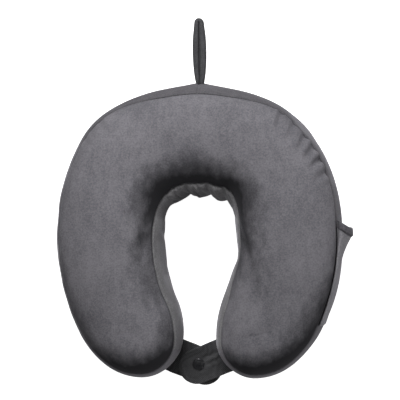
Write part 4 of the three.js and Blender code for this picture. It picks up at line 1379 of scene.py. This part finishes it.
def coil(side, node):
    """A nylon coil: one filament wound along the tape, its turns meshing with the other side's."""
    turns = int(math.radians(2 * COIL_END) * ZIP_RUN / COIL_PITCH)
    t = np.linspace(0, turns, turns * 12 + 1)
    angle = -COIL_END + 2 * COIL_END * t / turns
    phase = math.tau * t + (math.pi if side < 0 else 0)
    up = side * (1.35 - 1.45 * np.cos(phase))
    out = -1.05 + 0.75 * np.sin(phase)
    radius = np.full(len(t), FILAMENT)
    line = zip_points(angle, up, out)
    tangent = normalised(np.gradient(line, axis=0))
    outward = zip_points(angle, 0.0, 1.0) - zip_points(angle, 0.0, 0.0) + NEVER_PARALLEL
    sideways = normalised(np.cross(tangent, outward))
    name = "zip_coil_top_filament" if side > 0 else "zip_coil_bottom_filament"
    made = swept(name, line, sideways, np.cross(tangent, sideways), radius, radius, 2.0, 6)
    finish_piece(made, "pillow", node, NYLON)


def zip_tape(name, low, high, node):
    """A woven tape behind one edge of the zip's opening, ribbed along the coil."""
    angles = np.linspace(-COIL_END - 2.2, COIL_END + 2.2, 90)
    up = np.linspace(low, high, 9)
    edge = min(abs(low), abs(high))
    out = -2.35 - 0.9 * np.exp(-((np.abs(up) - edge) / 1.2))
    outside = zip_points(angles[:, None], up[None], out[None] + 0.3)
    inside = zip_points(angles[:, None], up[None], out[None] - 0.3)
    tape = sheet_solid(name, outside, inside)
    finish_piece(tape, "pillow", node, ZIP_CLOTH)


def zip_bar(name, start, end, half, inside, outside, node):
    """An end stop: a crimped staple across both rows of coil."""
    angles = np.linspace(start, end, 7)
    middle = (inside + outside) / 2
    centres = zip_points(angles, 0.0, middle)
    up = zip_points(angles, 1.0, middle) - centres
    out = zip_points(angles, 0.0, middle + 1) - centres
    swell = 1 - 0.35 * np.abs(np.linspace(-1, 1, 7)) ** 3
    made = swept(name, centres, up, out, half * swell, (outside - inside) / 2 * swell, 3.5, 24)
    finish_piece(made, "pillow", node, ZIP_METAL)


def rounded_rectangle(x, y, radius, steps=5):
    """Corner points of a rectangle with round corners, anticlockwise."""
    left, right = x[0] + radius, x[1] - radius
    low, high = y[0] + radius, y[1] - radius
    centres = [(right, high), (left, high), (left, low), (right, low)]
    quarter = np.linspace(0, 90, steps)
    return np.concatenate([c + radius * unit(90 * i + quarter) for i, c in enumerate(centres)])


def prism(name, outline, low, high):
    """A plate with the given outline between two heights."""
    count = len(outline)
    points = [(*p, low) for p in outline] + [(*p, high) for p in outline]
    faces = [tuple(range(count))[::-1], tuple(range(count, 2 * count))]
    faces += [(k, (k + 1) % count, count + (k + 1) % count, count + k) for k in range(count)]
    return face_outwards(make_object(name, points, faces, smooth_shading=False))


def combine(base, other, operation):
    """Joins or cuts two closed meshes and keeps the first object."""
    modifier = base.modifiers.new("Boolean", "BOOLEAN")
    modifier.operation, modifier.solver, modifier.object = operation, "EXACT", other
    apply_modifiers(base)
    bpy.data.objects.remove(other)


def bevel(obj, width, segments=2):
    modifier = obj.modifiers.new("Bevel", "BEVEL")
    modifier.width, modifier.segments = width * MM, segments
    modifier.limit_method, modifier.angle_limit = "ANGLE", math.radians(35)
    modifier.harden_normals = False


def place_on_zip(obj, out):
    """Turns points from the slider's own axes into the frame, at the slider's place."""
    origin = zip_points(SLIDER_REST, 0.0, out)
    set_points(obj, points_of(obj.data) @ zip_axes(SLIDER_REST) + origin)
    return obj


def build_slider():
    taper = [(-5.5, 3.1), (-4.6, 4.0), (-1.0, 4.2), (2.6, 3.5), (4.7, 2.7), (5.5, 1.8)]
    outline = np.array(taper + [(x, -y) for x, y in taper[::-1]])[::-1]
    body = prism("zip_slider_body", outline, 0.4, 1.5)
    web = rounded_rectangle((-2, 2), (-0.2, 0.2), 0.1)
    combine(body, prism("slider_lower", outline * [0.98, 0.74], -4.6, -3.9), "UNION")
    combine(body, prism("slider_web", web, -4.0, 0.5), "UNION")
    half_arch = [(-3.0, 0, 1.2), (-3.0, 0, 2.9), (-2.5, 0, 3.9), (-1.5, 0, 4.3)]
    centres = np.array(half_arch + [(-x, y, z) for x, y, z in half_arch[::-1]])
    side = np.tile([0.0, 1.0, 0.0], (len(centres), 1))
    up = np.cross(normalised(np.gradient(centres, axis=0)), side)
    half_wide, half_thick = np.full(len(centres), 0.8), np.full(len(centres), 0.45)
    bridge = swept("slider_bridge", centres, side, up, half_wide, half_thick, 4, 16)
    combine(body, bridge, "UNION")
    bevel(body, 0.22)
    finish_piece(place_on_zip(body, 0.0), "slider", "zip_slider", ZIP_METAL)


def build_pull():
    half, length, window = 2.9, 18.0, 5.5
    end = [(length - 2.4, half), (length - 0.9, 2.3), (length - 0.2, 1.3), (length, 0)]
    upper = [(-0.6, half - 0.6), (0.1, half), (6.5, half), (8.5, 2.35), (11.5, 2.5)] + end
    outline = np.array(upper + [(x, -y) for x, y in upper[::-1] if y > 0])[::-1]
    pull = prism("zip_pull_tab", outline, -0.55, 0.55)
    hole = rounded_rectangle((0.6, window), (-1.7, 1.7), 0.7)
    combine(pull, prism("window", hole, -2, 2), "DIFFERENCE")
    grip = rounded_rectangle((11.5, 15.5), (-1.3, 1.3), 1.2)
    combine(pull, prism("grip", grip, 0.3, 2), "DIFFERENCE")
    bevel(pull, 0.25)
    finish_piece(place_on_zip(pull, PULL_PIN_OUT), "pull", "zip_pull", ZIP_METAL)


def build_zip():
    zip_tape("zip_tape_top_strip", 0.55, 11.0, "zip_tape_upper")
    zip_tape("zip_tape_bottom_strip", -0.55, -6.2, "zip_tape_lower")
    coil(1, "zip_coil_upper")
    coil(-1, "zip_coil_lower")
    zip_bar("zip_stop_right_staple", 25.2, 25.9, 2.4, -1.85, 0.3, "zip_stop_right")
    zip_bar("zip_stop_left_staple", -25.9, -25.2, 2.4, -1.85, 0.3, "zip_stop_left")
    build_slider()
    build_pull()


# ---------- floor, light and camera ----------

CAMERA_DISTANCE = 1.45
CAMERA_LEAN_X = math.radians(3.8)
CAMERA_LEAN_Y = math.radians(0.8)
VIEW_CENTRE = Vector((0.0005, -0.059, WIDEST_Z * MM))
VIEW_WIDTH = 0.4
FLOOR_HALF_SIZE = 60000.0
FLOOR_Z = -0.6
LIGHTS = [  # name, place, diameter, power
    ("key", (-0.1, 0.65, 0.72), 0.55, 9.1),
    ("top", (-0.1, 0.5, 2.2), 1.2, 5),
    ("side", (1.5, -0.35, 0.55), 0.7, 7),
    ("front", (-0.3, -1.6, 0.5), 0.9, 3.5),
]
LIGHT_TARGET = Vector((0, -0.08, 0.05))


def build_stage():
    corners = FLOOR_HALF_SIZE * np.array([(-1, -1), (1, -1), (1, 1), (-1, 1)])
    floor = make_object("floor", [(*corner, FLOOR_Z) for corner in corners], [range(4)])
    n = Nodes("floor")
    n.set(Base_Color=(0.9, 0.9, 0.9, 1), Roughness=0.9)
    n.set(Emission_Color=(1, 1, 1, 1), Emission_Strength=1.0)
    below = n.add("ShaderNodeNewGeometry").outputs["Backfacing"]
    clear = n.add("ShaderNodeBsdfTransparent").outputs["BSDF"]
    shaders = {0: below, 1: n.shader.outputs["BSDF"], 2: clear}
    seen = n.add("ShaderNodeMixShader", shaders).outputs["Shader"]
    n.tree.links.new(seen, n.output.inputs["Surface"])
    floor.data.materials.append(n.material)
    floor.visible_diffuse = False
    floor.visible_glossy = False


def build_lights():
    for name, place, size, power in LIGHTS:
        data = bpy.data.lights.new(name, "AREA")
        data.shape, data.size, data.energy = "DISK", size, power
        light = add_object(name, data)
        light.location = place
        light.rotation_euler = (LIGHT_TARGET - Vector(place)).to_track_quat("-Z", "Y").to_euler()
    world = bpy.data.worlds.new("studio")
    world.use_nodes = True
    background = world.node_tree.nodes["Background"]
    background.inputs["Color"].default_value = (1, 1, 1, 1)
    background.inputs["Strength"].default_value = 0.1
    bpy.context.scene.world = world
    bpy.context.scene.view_settings.view_transform = "Standard"


def build_camera():
    data = bpy.data.cameras.new("camera")
    data.sensor_width = 36.0
    data.lens = data.sensor_width * CAMERA_DISTANCE / VIEW_WIDTH
    camera = add_object("camera", data)
    back = Vector((math.tan(CAMERA_LEAN_X), math.tan(CAMERA_LEAN_Y), 1)).normalized()
    right = Vector((0, 1, 0)).cross(back).normalized()
    turn = Matrix((right, back.cross(right), back)).transposed()
    camera.location = VIEW_CENTRE + back * CAMERA_DISTANCE
    camera.rotation_euler = turn.to_euler()
    bpy.context.scene.camera = camera


# ---------- the assembly ----------

PANELS = [  # the piece, its cells, the CAD node it stands in for, its material
    ("cover_top", "top", "top_panel", VELOUR_TOP),
    ("cover_bottom", "bottom", "bottom_panel", VELOUR_PAINTED_DARKER),
    ("cover_band_right", "outer_right", "outer_band_right", VELOUR_PAINTED_DARKER),
    ("cover_band_left", "outer_left", "outer_band_left", VELOUR_PAINTED_DARKER),
    ("cover_inner_band", "inner", "inner_band", VELOUR_INNER_PAINTED_LIGHTER),
]

for panel in PANELS:
    build_panel(*panel)
build_inside()
build_pocket()
build_loop()
build_closure()
build_zip()
build_stage()
build_lights()
build_camera()
